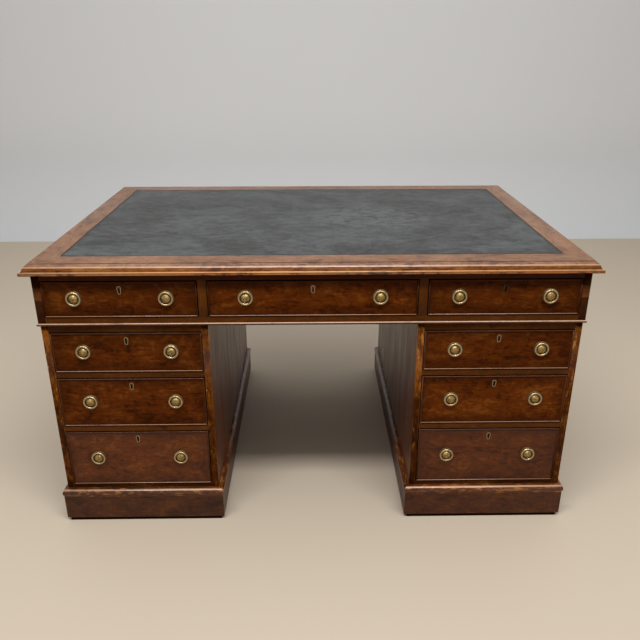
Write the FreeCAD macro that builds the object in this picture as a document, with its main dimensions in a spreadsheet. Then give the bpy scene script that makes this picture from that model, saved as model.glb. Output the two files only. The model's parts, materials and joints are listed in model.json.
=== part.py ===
"""Partners desk: a leather-topped frieze section on two pedestals, open through the kneehole.

Millimetres, +Z up, origin on the floor under the middle of the desk. The side with the pedestal
drawers faces -Y, and the side with the cupboards faces +Y. Left and right are as seen from -Y.
"""
import FreeCAD, Part
import math
import os

import Sketcher
from FreeCAD import Placement, Rotation, Vector

SIZES = (
    ("desk_width", 1460, "over the edges of the top"),
    ("desk_depth", 995, "over the edges of the top"),
    ("desk_height", 780, "floor to the border of the top"),
    ("border_width", 80, "mitred border round the leather"),
    ("leather_thickness", 1.5, "leather on the core board"),
    ("leather_drop", 0.4, "leather below the border"),
    ("edge_step", 1, "upright step above the moulded edge"),
    ("edge_round_width", 12.5, "flat round of the edge, across"),
    ("edge_round_height", 14, "flat round of the edge, upright"),
    ("edge_hollow_width", 3.5, "hollow under the round, across"),
    ("edge_hollow_height", 3.4, "hollow under the round, upright"),
    ("edge_lip_round", 4, "radius of the upper corner of the lip"),
    ("edge_lip_face", 4, "upright face of the lip"),
    ("edge_lip_foot", 1.6, "radius of the lower corner of the lip"),
    ("top_overhang", 21.5, "lip of the top beyond the frieze"),
    ("frieze_lower_rail", 23, "height of the rail under the frieze drawers"),
    ("frieze_drawer_height", 96, "frieze drawer over its cockbeads"),
    ("frieze_upper_rail", 19, "height of the rail over the frieze drawers"),
    ("frieze_end", 20, "thickness of each end of the frieze"),
    ("frieze_divider", 23, "width of the uprights between frieze drawers"),
    ("frieze_spine", 18, "thickness of the board between front and back drawers"),
    ("frieze_bead_height", 8, "bead along the bottom of the frieze"),
    ("frieze_bead_depth", 3.5, "how far that bead stands out"),
    ("rail_depth", 40, "front to back of every rail"),
    ("pedestal_width", 432, "over the two sides"),
    ("pedestal_setback", 3.5, "pedestal behind the face of the frieze"),
    ("pedestal_side", 18, "thickness of each side"),
    ("pedestal_top", 19, "thickness of the top board"),
    ("pedestal_bottom", 20, "thickness of the bottom board"),
    ("bottom_lift", 16, "bottom board above the lower end of the sides"),
    ("pedestal_partition", 16, "board between drawers and cupboard"),
    ("drawer_rail", 16, "height of the rails between pedestal drawers"),
    ("middle_drawer_step", 32, "middle drawer taller than the upper one"),
    ("lower_drawer_step", 25.8, "lower drawer taller than the middle one"),
    ("plinth_gap", 10, "floor to the plinth boards"),
    ("plinth_height", 72, "height of the plinth boards"),
    ("plinth_board", 22, "thickness of the plinth boards"),
    ("strip_inset", 2, "strip under the plinth: back from the face of the board"),
    ("strip_end", 9, "strip under the plinth: back from the end of the board"),
    ("base_foot", 5, "moulding on the plinth: plain strip at its bottom"),
    ("base_undercut", 2.5, "moulding on the plinth: slope under its lip"),
    ("base_lip", 5.5, "moulding on the plinth: upright lip"),
    ("base_ovolo", 10.5, "moulding on the plinth: radius of its round"),
    ("base_ledge", 1.5, "moulding on the plinth: flat above the round"),
    ("base_fillet", 2.5, "moulding on the plinth: upright step at the top"),
    ("base_top", 1.5, "moulding on the plinth: width of its top"),
    ("foot_block", 60, "width of the corner blocks that carry the desk"),
    ("runner_width", 22, "drawer runners and kickers"),
    ("runner_height", 16, "drawer runners"),
    ("dust_board", 6, "thickness of the boards between the runners"),
    ("dust_board_drop", 4, "dust board below the top of the runners"),
    ("shelf_thickness", 14, "shelf in each cupboard"),
    ("shelf_setback", 12, "shelf behind the closed door"),
    ("shelf_bearer", 16, "strips under the shelf"),
    ("locating_block", 60, "width of the blocks that locate the frieze"),
    ("locating_height", 10, "height of those blocks"),
    ("locating_clearance", 1, "block to the runner that it locates"),
    ("locating_spread", 440, "front to back between the blocks"),
    ("front_thickness", 20, "drawer fronts and doors"),
    ("drawer_gap", 2, "round every drawer front"),
    ("door_gap", 1.2, "round both doors"),
    ("drawer_side", 10, "thickness of the drawer sides"),
    ("drawer_back", 9, "thickness of the drawer backs"),
    ("drawer_bottom", 7, "thickness of the drawer bottoms"),
    ("drawer_bottom_lift", 6, "drawer bottom above the lower edge of the sides"),
    ("drawer_back_drop", 8, "drawer back below the top of the sides"),
    ("run_clearance", 0.3, "drawer side to its runner, and drawer to its stop"),
    ("guide_clearance", 1.5, "drawer side to the board that guides it"),
    ("kick_clearance", 4, "drawer side to the kicker above"),
    ("cockbead", 4, "thickness of the cockbeads"),
    ("cockbead_proud", 2.5, "cockbead beyond the drawer front"),
    ("handle_inset", 81, "handle from the end of the drawer front"),
    ("frieze_handle_inset", 78.7, "handle from the end of the side drawer fronts in the frieze"),
    ("centre_handle_inset", 96.2, "handle from the end of the centre drawer front"),
    ("handle_rise", 3, "handle above the middle of the drawer front"),
    ("rose_diameter", 42, "round plate of the handle"),
    ("rose_floor", 1.2, "thickness of the plate inside its rim"),
    ("rose_rim_width", 4, "width of the raised rim"),
    ("rose_rim_rise", 1.4, "height of the rim above the floor"),
    ("boss_diameter", 23.6, "domed boss in the middle of the plate"),
    ("boss_neck", 10, "diameter of the neck under the boss"),
    ("boss_neck_height", 2.4, "neck above the floor of the plate"),
    ("boss_flare", 2, "height of the flare from neck to boss"),
    ("boss_dome", 6.2, "height of the dome"),
    ("stud_diameter", 4, "threaded stud of the handle"),
    ("stud_clearance", 0.2, "stud to the hole round it"),
    ("stud_end", 1.5, "stud beyond its nut"),
    ("nut_width", 9, "square nut on the stud"),
    ("nut_thickness", 3, "nut on the stud"),
    ("ring_pitch", 33.6, "diameter of the ring along the middle of its wire"),
    ("ring_wire", 5.6, "diameter of the ring's wire"),
    ("ring_seat", 0.3, "hanging ring to the rim of the plate"),
    ("ear_width", 5, "ear that holds the ring's pin"),
    ("ear_clearance", 0.4, "ear to each end of the ring"),
    ("ring_pin", 2.4, "diameter of the ring's pin"),
    ("pin_clearance", 0.08, "pins to their holes"),
    ("keyhole_drop", 24.2, "keyhole below the top of the drawer front"),
    ("escutcheon_upper", 5.8, "upper radius of the escutcheon"),
    ("escutcheon_lower", 4.5, "lower radius of the escutcheon"),
    ("escutcheon_spread", 11.8, "between the centres of those radii"),
    ("escutcheon_wall", 2, "wall of the escutcheon"),
    ("escutcheon_fit", 0.05, "escutcheon to the wood round it"),
    ("lock_width", 54, "case of the lock"),
    ("lock_height", 38, "case of the lock"),
    ("lock_depth", 11, "case of the lock"),
    ("lock_pin", 2.4, "diameter of the pin in the keyhole"),
    ("lock_pin_sink", 3, "end of that pin below the front"),
    ("door_stile", 58, "width of the stiles and rails of the doors"),
    ("door_panel", 8, "thickness of the panel"),
    ("panel_sink", 6, "panel behind the face of the door"),
    ("panel_moulding", 8, "width of the moulding round the panel"),
    ("panel_moulding_lip", 1, "moulding's edge on the panel"),
    ("hinge_length", 60, "butt hinges of the doors"),
    ("hinge_inset", 40, "hinge from the end of the door"),
    ("hinge_width", 18, "leaf from the face of the door inwards"),
    ("hinge_leaf", 1.5, "thickness of a leaf"),
    ("hinge_barrel", 7, "diameter of the barrel"),
    ("hinge_pin", 3, "diameter of the pin"),
    ("hinge_clearance", 0.2, "between the barrels and behind them"),
)


class Size:
    """A length as a formula over the cells of the sheet, with the value that it has now."""

    def __init__(self, formula, value):
        self.formula = formula
        self.value = value

    @staticmethod
    def of(number):
        return number if isinstance(number, Size) else Size(repr(number), float(number))

    def __add__(self, other):
        other = Size.of(other)
        return Size(f"({self.formula} + {other.formula})", self.value + other.value)

    def __sub__(self, other):
        other = Size.of(other)
        return Size(f"({self.formula} - {other.formula})", self.value - other.value)

    def __mul__(self, other):
        other = Size.of(other)
        return Size(f"({self.formula} * {other.formula})", self.value * other.value)

    def __truediv__(self, other):
        other = Size.of(other)
        return Size(f"({self.formula} / {other.formula})", self.value / other.value)

    def __neg__(self):
        return Size(f"(-{self.formula})", -self.value)

    def root(self):
        return Size(f"sqrt({self.formula})", math.sqrt(self.value))


doc = FreeCAD.newDocument("PartnersDesk")
sheet = doc.addObject("Spreadsheet::Sheet", "Sizes")
size = {}
for row, (alias, number, note) in enumerate(SIZES, start=1):
    sheet.set(f"A{row}", note)
    sheet.set(f"B{row}", str(number))
    sheet.setAlias(f"B{row}", alias)
    size[alias] = Size(f"Sizes.{alias}", float(number))
doc.recompute()

nodes = []

NO_TURN = Rotation()
HALF_TURN = Rotation(Vector(0, 0, 1), 180)
STAND_UP = Rotation(Vector(1, 0, 0), 90)
ALONG_X = Rotation(Vector(0, 1, 0), 90)
ALONG_Y = Rotation(Vector(1, 0, 0), -90)
SECTION_PLANE = Rotation(Vector(1, 1, 1), 120)


# Helpers for bound pieces

def bind(piece, **formulas):
    """Binds properties of a piece to lengths."""
    for name, length in formulas.items():
        piece.setExpression(name, Size.of(length).formula)


def place(piece, x=0, y=0, z=0, turn=NO_TURN):
    """Puts the piece's own origin at a point, turned about it."""
    piece.Placement = Placement(Vector(0, 0, 0), turn)
    for axis, length in zip("xyz", (x, y, z)):
        piece.setExpression(f"Placement.Base.{axis}", Size.of(length).formula)
    return piece


def board(name, x, y, z):
    """A rectangular board between three pairs of planes, each given in either order."""
    spans = [sorted((Size.of(a), Size.of(b)), key=lambda side: side.value) for a, b in (x, y, z)]
    piece = doc.addObject("Part::Box", name)
    bind(piece, Length=spans[0][1] - spans[0][0])
    bind(piece, Width=spans[1][1] - spans[1][0])
    bind(piece, Height=spans[2][1] - spans[2][0])
    return place(piece, spans[0][0], spans[1][0], spans[2][0])


def rod(name, diameter, length, x=0, y=0, z=0, turn=NO_TURN):
    """A round bar from a point, along +Z unless turned."""
    piece = doc.addObject("Part::Cylinder", name)
    bind(piece, Radius=Size.of(diameter) / 2, Height=length)
    return place(piece, x, y, z, turn)


def copy_of(name, piece, x=0, y=0, z=0, turn=NO_TURN):
    """Another of a piece that was made about the origin, somewhere else."""
    link = doc.addObject("App::Link", name)
    link.LinkedObject = piece
    return place(link, x, y, z, turn)


def cut(name, piece, tools):
    """The piece with every tool's space taken out of it."""
    result = doc.addObject("Part::Cut", name)
    result.Base = piece
    result.Tool = tools[0] if len(tools) == 1 else fuse(name + "_spaces", tools)
    return result


def fuse(name, pieces):
    """One solid from several that meet."""
    result = doc.addObject("Part::MultiFuse", name)
    result.Shapes = pieces
    return result


def group(name, pieces, x=0, y=0, z=0, turn=NO_TURN):
    """Separate solids that are placed together."""
    result = doc.addObject("Part::Compound", name)
    result.Links = pieces
    return place(result, x, y, z, turn)


def node(name, pieces, x=0, y=0, z=0, turn=NO_TURN):
    """A named sub-part, which is written to a file of its own."""
    result = group(name, pieces, x, y, z, turn)
    result.Label = name
    nodes.append(result)
    return result


def arc_between(start, end, centre, turn):
    """The arc from start to end about a centre, anticlockwise where turn is 1, clockwise where it is -1."""
    first = math.atan2(start.y - centre.y, start.x - centre.x)
    last = math.atan2(end.y - centre.y, end.x - centre.x)
    middle = first + turn * ((last - first) * turn % math.tau) / 2
    radius = (start - centre).Length
    through = centre + Vector(math.cos(middle), math.sin(middle), 0) * radius
    return Part.Arc(start, through, end)


def draw(sketch, corners):
    """Draws a closed outline and dimensions every corner from the sketch's origin.

    A corner is (x, y), or (x, y, centre x, centre y, turn) where an arc leaves it.
    """
    corners = [[Size.of(value) for value in corner] for corner in corners]
    points = [Vector(corner[0].value, corner[1].value, 0) for corner in corners]
    first = sketch.GeometryCount
    count = len(corners)
    for index, corner in enumerate(corners):
        start = points[index]
        end = points[(index + 1) % count]
        if len(corner) == 2:
            sketch.addGeometry(Part.LineSegment(start, end))
        else:
            centre = Vector(corner[2].value, corner[3].value, 0)
            sketch.addGeometry(arc_between(start, end, centre, corner[4].value))
    for index, corner in enumerate(corners):
        edge = first + index
        before = first + (index - 1) % count
        start = end_at(sketch, edge, points[index])
        end = end_at(sketch, before, points[index])
        sketch.addConstraint(Sketcher.Constraint("Coincident", before, end, edge, start))
        dimension(sketch, "DistanceX", edge, start, corner[0])
        dimension(sketch, "DistanceY", edge, start, corner[1])
        if len(corner) > 2:
            chord = points[(index + 1) % count] - points[index]
            if abs(chord.y) >= abs(chord.x):
                dimension(sketch, "DistanceX", edge, 3, corner[2])
            else:
                dimension(sketch, "DistanceY", edge, 3, corner[3])


def end_at(sketch, edge, point):
    """Which end of an edge lies at the point."""
    return 1 if (sketch.getPoint(edge, 1) - point).Length < (sketch.getPoint(edge, 2) - point).Length else 2


def dimension(sketch, kind, edge, end, length):
    """Ties one coordinate of a point to a length, measured from the sketch's origin."""
    if length.value == 0:
        axis = -2 if kind == "DistanceX" else -1
        sketch.addConstraint(Sketcher.Constraint("PointOnObject", edge, end, axis))
        return
    index = sketch.addConstraint(Sketcher.Constraint(kind, -1, 1, edge, end, length.value))
    sketch.setExpression(f"Constraints[{index}]", length.formula)


def section(name, corners):
    """The section of a moulding: the first axis runs inwards from its face, the second upwards."""
    sketch = doc.addObject("Sketcher::SketchObject", name)
    sketch.Placement = Placement(Vector(0, 0, 0), SECTION_PLANE)
    draw(sketch, corners)
    return sketch


def mitred(name, profile, length, width, height):
    """A length of moulding along X with mitred ends. A plain board where there is no profile."""
    block = doc.addObject("Part::Wedge", name if profile is None else name + "_mitres")
    bind(block, Xmin=-length / 2, Xmax=length / 2, X2min=width - length / 2, X2max=length / 2 - width)
    bind(block, Ymin=0, Ymax=width, Zmin=0, Zmax=height, Z2min=0, Z2max=height)
    if profile is None:
        return block
    bar = doc.addObject("Part::Extrusion", name + "_bar")
    bar.Base = profile
    bar.DirMode = "Normal"
    bar.Solid = True
    bar.Symmetric = True
    bind(bar, LengthFwd=length)
    member = doc.addObject("Part::Common", name)
    member.Base = bar
    member.Tool = block
    return member


def frame(name, profile, length_x, length_y, width, height):
    """Four mitred members round a rectangle about the origin, lying flat on z = 0."""
    sides = (("front", length_x, 0, -length_y / 2), ("right", length_y, length_x / 2, 0),
             ("back", length_x, 0, length_y / 2), ("left", length_y, -length_x / 2, 0))
    members = []
    for quarter, (side, length, x, y) in enumerate(sides):
        member = mitred(f"{name}_{side}", profile, length, width, height)
        members.append(place(member, x, y, 0, Rotation(Vector(0, 0, 1), 90 * quarter)))
    return members


def sketch_in(body, name, plane):
    """A sketch on one of the body's own origin planes."""
    planes = {feature.Role: feature for feature in body.Origin.OriginFeatures}
    sketch = body.newObject("Sketcher::SketchObject", name)
    sketch.AttachmentSupport = [(planes[plane], "")]
    sketch.MapMode = "FlatFace"
    return sketch


# Planes that several pieces share

drawer_gap = size["drawer_gap"]
door_gap = size["door_gap"]
front_thickness = size["front_thickness"]
rail_depth = size["rail_depth"]

edge_width = size["edge_round_width"] + size["edge_hollow_width"] + size["edge_lip_round"]
lip_height = size["edge_lip_foot"] + size["edge_lip_face"] + size["edge_lip_round"]
top_thickness = lip_height + size["edge_hollow_height"] + size["edge_round_height"] + size["edge_step"]
base_width = size["base_ovolo"] + size["base_ledge"] + size["base_top"]
base_height = (size["base_foot"] + size["base_undercut"] + size["base_lip"] + size["base_ovolo"]
               + size["base_fillet"])

frieze_x = size["desk_width"] / 2 - size["top_overhang"]
frieze_y = size["desk_depth"] / 2 - size["top_overhang"]
frieze_top = size["desk_height"] - top_thickness
frieze_opening = size["frieze_drawer_height"] + drawer_gap * 2
upper_rail_bottom = frieze_top - size["frieze_upper_rail"]
lower_rail_top = upper_rail_bottom - frieze_opening
frieze_bottom = lower_rail_top - size["frieze_lower_rail"]

pedestal_outer = frieze_x - size["pedestal_setback"]
pedestal_inner = pedestal_outer - size["pedestal_width"]
pedestal_middle = pedestal_outer - size["pedestal_width"] / 2
pedestal_y = frieze_y - size["pedestal_setback"]
opening_outer = pedestal_outer - size["pedestal_side"]
opening_inner = pedestal_inner + size["pedestal_side"]
opening_width = opening_outer - opening_inner
plinth_top = size["plinth_gap"] + size["plinth_height"]
plinth_step = base_width - size["base_undercut"]
floor_board_top = plinth_top + size["bottom_lift"] + size["pedestal_bottom"]
top_board_bottom = frieze_bottom - size["pedestal_top"]

drawer_rise = top_board_bottom - floor_board_top - size["drawer_rail"] * 2
upper_opening = (drawer_rise - size["middle_drawer_step"] * 2 - size["lower_drawer_step"]) / 3
middle_opening = upper_opening + size["middle_drawer_step"]
lower_opening = middle_opening + size["lower_drawer_step"]
upper_rail_top = top_board_bottom - upper_opening
middle_rail_top = upper_rail_top - size["drawer_rail"] - middle_opening

end_inside = frieze_x - size["frieze_end"]
divider_middle = pedestal_inner + size["pedestal_side"] / 2
divider_outer = divider_middle + size["frieze_divider"] / 2
divider_inner = divider_middle - size["frieze_divider"] / 2
spine_face = size["frieze_spine"] / 2
partition_face = size["pedestal_partition"] / 2

door_width = opening_width - door_gap * 2
door_height = top_board_bottom - floor_board_top - door_gap * 2
door_middle = (top_board_bottom + floor_board_top) / 2
hinge_x = door_width / 2 + door_gap / 2
hinge_y = size["hinge_barrel"] / 2 + size["hinge_clearance"]
leaf_gap = size["hinge_clearance"] / 2
hinge_z = door_height / 2 - size["hinge_inset"] - size["hinge_length"] / 2

ring_radius = size["ring_pitch"] / 2
ring_plane = size["rose_floor"] + size["rose_rim_rise"] + size["ring_seat"] + size["ring_wire"] / 2
keyhole_to_edge = size["keyhole_drop"] - size["cockbead"]

SIDES = (("left", -1), ("right", 1))
EDGE_ROUND_BOW = 1.4
EDGE_HOLLOW_BOW = 1.14
FACES = (("front", -1), ("back", 1))


# Top

def make_top():
    """Leather on a core board, in a mitred border whose outer edge is moulded."""
    half_x = size["desk_width"] / 2 - size["border_width"]
    half_y = size["desk_depth"] / 2 - size["border_width"]
    leather_top = size["desk_height"] - size["leather_drop"]
    core_top = leather_top - size["leather_thickness"]
    node("leather_writing_surface", [board("leather", (-half_x, half_x), (-half_y, half_y),
                                           (core_top, leather_top))])
    node("top_core_board", [board("core", (-half_x, half_x), (-half_y, half_y), (frieze_top, core_top))])

    across = size["edge_round_width"]
    upright = size["edge_round_height"]
    round_top = top_thickness - size["edge_step"]
    round_x = edge_width - across / 2 + upright * EDGE_ROUND_BOW
    round_z = round_top - upright / 2 - across * EDGE_ROUND_BOW
    hollow_x = size["edge_hollow_width"]
    hollow_z = size["edge_hollow_height"]
    lip = size["edge_lip_round"]
    foot = size["edge_lip_foot"]
    bow_x = lip + hollow_x / 2 - hollow_z * EDGE_HOLLOW_BOW
    bow_z = lip_height + hollow_z / 2 + hollow_x * EDGE_HOLLOW_BOW
    profile = section("edge_section", (
        (size["border_width"], 0),
        (size["border_width"], top_thickness),
        (edge_width, top_thickness),
        (edge_width, round_top, round_x, round_z, 1),
        (lip + hollow_x, lip_height + hollow_z, bow_x, bow_z, -1),
        (lip, lip_height, lip, lip_height - lip, 1),
        (0, lip_height - lip),
        (0, foot, foot, foot, 1),
        (foot, 0)))
    members = frame("top_border", profile, size["desk_width"], size["desk_depth"], size["border_width"],
                    top_thickness)
    node("top_border", members, z=frieze_top)


# Frieze

def make_frieze():
    """Ends, rails and dividers that frame six drawers, three on each face."""
    rise = (frieze_bottom, frieze_top)
    opening_rise = (lower_rail_top, upper_rail_bottom)
    ends = []
    rails = []
    dividers = []
    partitions = [board("frieze_spine", (-end_inside, end_inside), (-spine_face, spine_face), rise)]
    for side, x in SIDES:
        ends.append(board(f"frieze_end_{side}", (frieze_x * x, end_inside * x), (-frieze_y, frieze_y),
                          rise))
    for face, y in FACES:
        depth = (frieze_y * y, (frieze_y - rail_depth) * y)
        behind = ((frieze_y - rail_depth) * y, spine_face * y)
        across = (-end_inside, end_inside)
        rails.append(board(f"frieze_rail_lower_{face}", across, depth, (frieze_bottom, lower_rail_top)))
        rails.append(board(f"frieze_rail_upper_{face}", across, depth, (upper_rail_bottom, frieze_top)))
        for side, x in SIDES:
            width = (divider_inner * x, divider_outer * x)
            dividers.append(board(f"frieze_divider_{face}_{side}", width, depth, opening_rise))
            partitions.append(board(f"frieze_partition_{face}_{side}", width, behind, rise))
    node("frieze_ends", ends)
    node("frieze_rails", rails)
    node("frieze_dividers", dividers)
    node("frieze_partitions", partitions)
    make_frieze_bead()
    make_frieze_runners()


def make_frieze_bead():
    """A half-round bead planted along the bottom edge of the frieze."""
    depth = size["frieze_bead_depth"]
    half = size["frieze_bead_height"] / 2
    radius = (depth * depth + half * half) / (depth * 2)
    profile = section("frieze_bead_section", (
        (depth, 0),
        (depth, size["frieze_bead_height"], radius, half, 1)))
    members = frame("frieze_bead", profile, (frieze_x + depth) * 2, (frieze_y + depth) * 2, depth,
                    size["frieze_bead_height"])
    node("frieze_bead", members, z=frieze_bottom)


def make_frieze_runners():
    """Runners under each frieze drawer, kickers over it and a dust board between its runners."""
    bays = (("left", -end_inside, -divider_outer), ("centre", -divider_inner, divider_inner),
            ("right", divider_outer, end_inside))
    strips = []
    dust_boards = []
    for face, y in FACES:
        depth = ((frieze_y - rail_depth) * y, spine_face * y)
        for bay, low, high in bays:
            name = f"{face}_{bay}"
            inner = (low + size["runner_width"], high - size["runner_width"])
            for end, width in (("a", (low, inner[0])), ("b", (inner[1], high))):
                strips.append(board(f"frieze_runner_{name}_{end}", width, depth,
                                    (lower_rail_top - size["runner_height"], lower_rail_top)))
                strips.append(board(f"frieze_kicker_{name}_{end}", width, depth,
                                    (upper_rail_bottom, frieze_top)))
            dust_boards.append(dust_board(f"frieze_dust_board_{name}", inner, depth, lower_rail_top))
    node("frieze_runners", strips)
    node("frieze_dust_boards", dust_boards)


def dust_board(name, width, depth, runner_top):
    """A thin board between two runners."""
    top = runner_top - size["dust_board_drop"]
    return board(name, width, depth, (top - size["dust_board"], top))


# Pedestals

def make_pedestal(side, x):
    """Sides, boards and rails of one pedestal, with its drawer runners and its cupboard shelf."""
    across = (opening_inner * x, opening_outer * x)
    deep = (-pedestal_y, pedestal_y)
    rise = (plinth_top, frieze_bottom)
    outer = board(f"{side}_outer_side_blank", (opening_outer * x, pedestal_outer * x), deep, rise)
    recess_x = (opening_outer * x, (opening_outer - door_gap / 2 + leaf_gap + size["hinge_leaf"]) * x)
    recess_y = (pedestal_y - size["hinge_width"], pedestal_y)
    recesses = [board(f"{side}_side_recess_{index}", recess_x, recess_y,
                      hinge_rise(door_middle + hinge_z * index)) for index in (1, -1)]
    node(f"{side}_pedestal_sides", [
        cut(f"{side}_outer_side", outer, recesses),
        board(f"{side}_inner_side", (opening_inner * x, pedestal_inner * x), deep, rise)])

    rail_span = (-pedestal_y, -pedestal_y + rail_depth)
    rails = [board(f"{side}_top_board", across, deep, (top_board_bottom, frieze_bottom)),
             board(f"{side}_bottom_board", across, deep,
                   (floor_board_top - size["pedestal_bottom"], floor_board_top))]
    linings = [board(f"{side}_partition", across, (-partition_face, partition_face),
                     (floor_board_top, top_board_bottom))]
    inner = (opening_inner + size["runner_width"], opening_outer - size["runner_width"])
    behind = (-pedestal_y + rail_depth, -partition_face)
    for level, top in (("upper", upper_rail_top), ("middle", middle_rail_top)):
        rails.append(board(f"{side}_{level}_rail", across, rail_span, (top - size["drawer_rail"], top)))
        strip_rise = (top - size["runner_height"], top)
        for end, near, far in (("a", opening_inner, inner[0]), ("b", inner[1], opening_outer)):
            linings.append(board(f"{side}_{level}_runner_{end}", (near * x, far * x), behind, strip_rise))
        linings.append(dust_board(f"{side}_{level}_dust_board", (inner[0] * x, inner[1] * x), behind, top))
    linings += make_shelf(side, x)
    linings += make_locating_blocks(side, x)
    node(f"{side}_pedestal_rails", rails)
    node(f"{side}_pedestal_linings", linings)


def make_shelf(side, x):
    """A shelf half way up the cupboard, on a bearer at each end."""
    depth = (partition_face, pedestal_y - front_thickness - size["shelf_setback"])
    shelf_bottom = door_middle - size["shelf_thickness"] / 2
    bearer_rise = (shelf_bottom - size["shelf_bearer"], shelf_bottom)
    pieces = [board(f"{side}_shelf", (opening_inner * x, opening_outer * x), depth,
                    (shelf_bottom, shelf_bottom + size["shelf_thickness"]))]
    for end, wall, way in (("a", opening_inner, 1), ("b", opening_outer, -1)):
        width = (wall * x, (wall + size["shelf_bearer"] * way) * x)
        pieces.append(board(f"{side}_shelf_bearer_{end}", width, depth, bearer_rise))
    return pieces


def make_locating_blocks(side, x):
    """Blocks on the pedestal that stand between the frieze's runners and keep it in place."""
    reach = size["runner_width"] + size["locating_clearance"]
    pieces = []
    for end, wall, way in (("a", divider_outer, 1), ("b", end_inside, -1)):
        near = wall + reach * way
        width = (near * x, (near + size["locating_block"] * way) * x)
        for face, y in FACES:
            middle = size["locating_spread"] / 2 * y
            depth = (middle - size["locating_block"] / 2, middle + size["locating_block"] / 2)
            pieces.append(board(f"{side}_locating_block_{face}_{end}", width, depth,
                                (frieze_bottom, frieze_bottom + size["locating_height"])))
    return pieces


def make_plinth(side, x, profile):
    """Mitred boards under the pedestal, with a moulding on them round its foot."""
    step = plinth_step * 2
    boards = frame(f"{side}_plinth_board", None, size["pedestal_width"] + step, pedestal_y * 2 + step,
                   size["plinth_board"], size["plinth_height"])
    mouldings = frame(f"{side}_plinth_moulding", profile, size["pedestal_width"] + base_width * 2,
                      (pedestal_y + base_width) * 2, base_width, base_height)
    node(f"{side}_plinth", [
        group(f"{side}_plinth_boards", boards, z=size["plinth_gap"]),
        group(f"{side}_plinth_mouldings", mouldings, z=plinth_top)], x=pedestal_middle * x)


def base_section():
    """Section of the moulding: foot, undercut, lip, ovolo and a small step against the pedestal."""
    lip_low = size["base_foot"] + size["base_undercut"]
    lip_high = lip_low + size["base_lip"]
    ovolo_top = lip_high + size["base_ovolo"]
    step = size["base_ovolo"] + size["base_ledge"]
    return section("base_section", (
        (base_width, 0),
        (base_width, base_height),
        (step, base_height),
        (step, ovolo_top),
        (size["base_ovolo"], ovolo_top, size["base_ovolo"], lip_high, 1),
        (0, lip_high),
        (0, lip_low),
        (size["base_undercut"], size["base_foot"]),
        (size["base_undercut"], 0)))


def make_feet():
    """Corner blocks inside the plinths, and strips under their front and back boards, on the floor."""
    reach = plinth_step - size["plinth_board"]
    blocks = []
    for side, x in SIDES:
        for end, wall, way in (("outer", pedestal_outer, 1), ("inner", pedestal_inner, -1)):
            corner = wall + reach * way
            width = (corner * x, (corner - size["foot_block"] * way) * x)
            for face, y in FACES:
                corner_y = pedestal_y + reach
                depth = (corner_y * y, (corner_y - size["foot_block"]) * y)
                blocks.append(board(f"foot_{side}_{end}_{face}", width, depth, (0, plinth_top)))
    half_width = size["pedestal_width"] / 2 + plinth_step - size["strip_end"]
    half_depth = pedestal_y + plinth_step
    for side, x in SIDES:
        width = (pedestal_middle * x - half_width, pedestal_middle * x + half_width)
        for face, y in FACES:
            depth = ((half_depth - size["strip_inset"]) * y, (half_depth - size["plinth_board"]) * y)
            blocks.append(board(f"strip_{side}_{face}", width, depth, (0, size["plinth_gap"])))
    node("plinth_feet", blocks)


# Brass fittings, made once about their own origins

def make_rose():
    """A dished plate with a rim, a domed boss and a stud, turned about Y, and an ear for the ring."""
    body = doc.addObject("PartDesign::Body", "rose")
    plate = size["rose_diameter"] / 2
    rim_in = plate - size["rose_rim_width"]
    rim_middle = plate - size["rose_rim_width"] / 2
    floor = size["rose_floor"]
    half_rim = size["rose_rim_width"] / 2
    rim_radius = (half_rim * half_rim + size["rose_rim_rise"] * size["rose_rim_rise"]) / (
        size["rose_rim_rise"] * 2)
    rim_centre = floor + size["rose_rim_rise"] - rim_radius
    neck = size["boss_neck"] / 2
    neck_top = floor + size["boss_neck_height"]
    boss = size["boss_diameter"] / 2
    boss_low = neck_top + size["boss_flare"]
    dome = size["boss_dome"]
    apex = boss_low + dome
    dome_radius = (boss * boss + dome * dome) / (dome * 2)
    stud = size["stud_diameter"] / 2
    stud_length = front_thickness + size["nut_thickness"] + size["stud_end"]
    turned = sketch_in(body, "rose_section", "XY_Plane")
    draw(turned, (
        (0, stud_length),
        (stud, stud_length),
        (stud, 0),
        (plate, 0),
        (plate, -floor, rim_middle, -rim_centre, -1),
        (rim_in, -floor),
        (neck, -floor),
        (neck, -neck_top),
        (boss, -boss_low, 0, dome_radius - apex, -1),
        (0, -apex)))
    turning = body.newObject("PartDesign::Revolution", "rose_turning")
    turning.Profile = turned
    turning.ReferenceAxis = (turned, ["V_Axis"])
    turning.Angle = 360

    ear_radius = size["ring_wire"] / 2
    low = ring_radius - ear_radius
    high = ring_radius + ear_radius
    ear_sketch = sketch_in(body, "ear_section", "YZ_Plane")
    draw(ear_sketch, (
        (-floor / 2, low),
        (-floor / 2, high),
        (-ring_plane, high, -ring_plane, ring_radius, 1),
        (-ring_plane, low)))
    ear = body.newObject("PartDesign::Pad", "ear")
    ear.Profile = ear_sketch
    ear.SideType = "Symmetric"
    bind(ear, Length=size["ear_width"])

    hole_sketch = sketch_in(body, "ear_hole_section", "YZ_Plane")
    hole = hole_sketch.addGeometry(Part.Circle(Vector(-ring_plane.value, ring_radius.value, 0),
                                               Vector(0, 0, 1), 1))
    hole_radius = size["ring_pin"] / 2 + size["pin_clearance"]
    index = hole_sketch.addConstraint(Sketcher.Constraint("Radius", hole, hole_radius.value))
    hole_sketch.setExpression(f"Constraints[{index}]", hole_radius.formula)
    dimension(hole_sketch, "DistanceX", hole, 3, -ring_plane)
    dimension(hole_sketch, "DistanceY", hole, 3, ring_radius)
    bore = body.newObject("PartDesign::Pocket", "ear_hole")
    bore.Profile = hole_sketch
    bore.SideType = "Symmetric"
    bore.Type = "ThroughAll"
    body.Tip = bore
    return body


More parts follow.
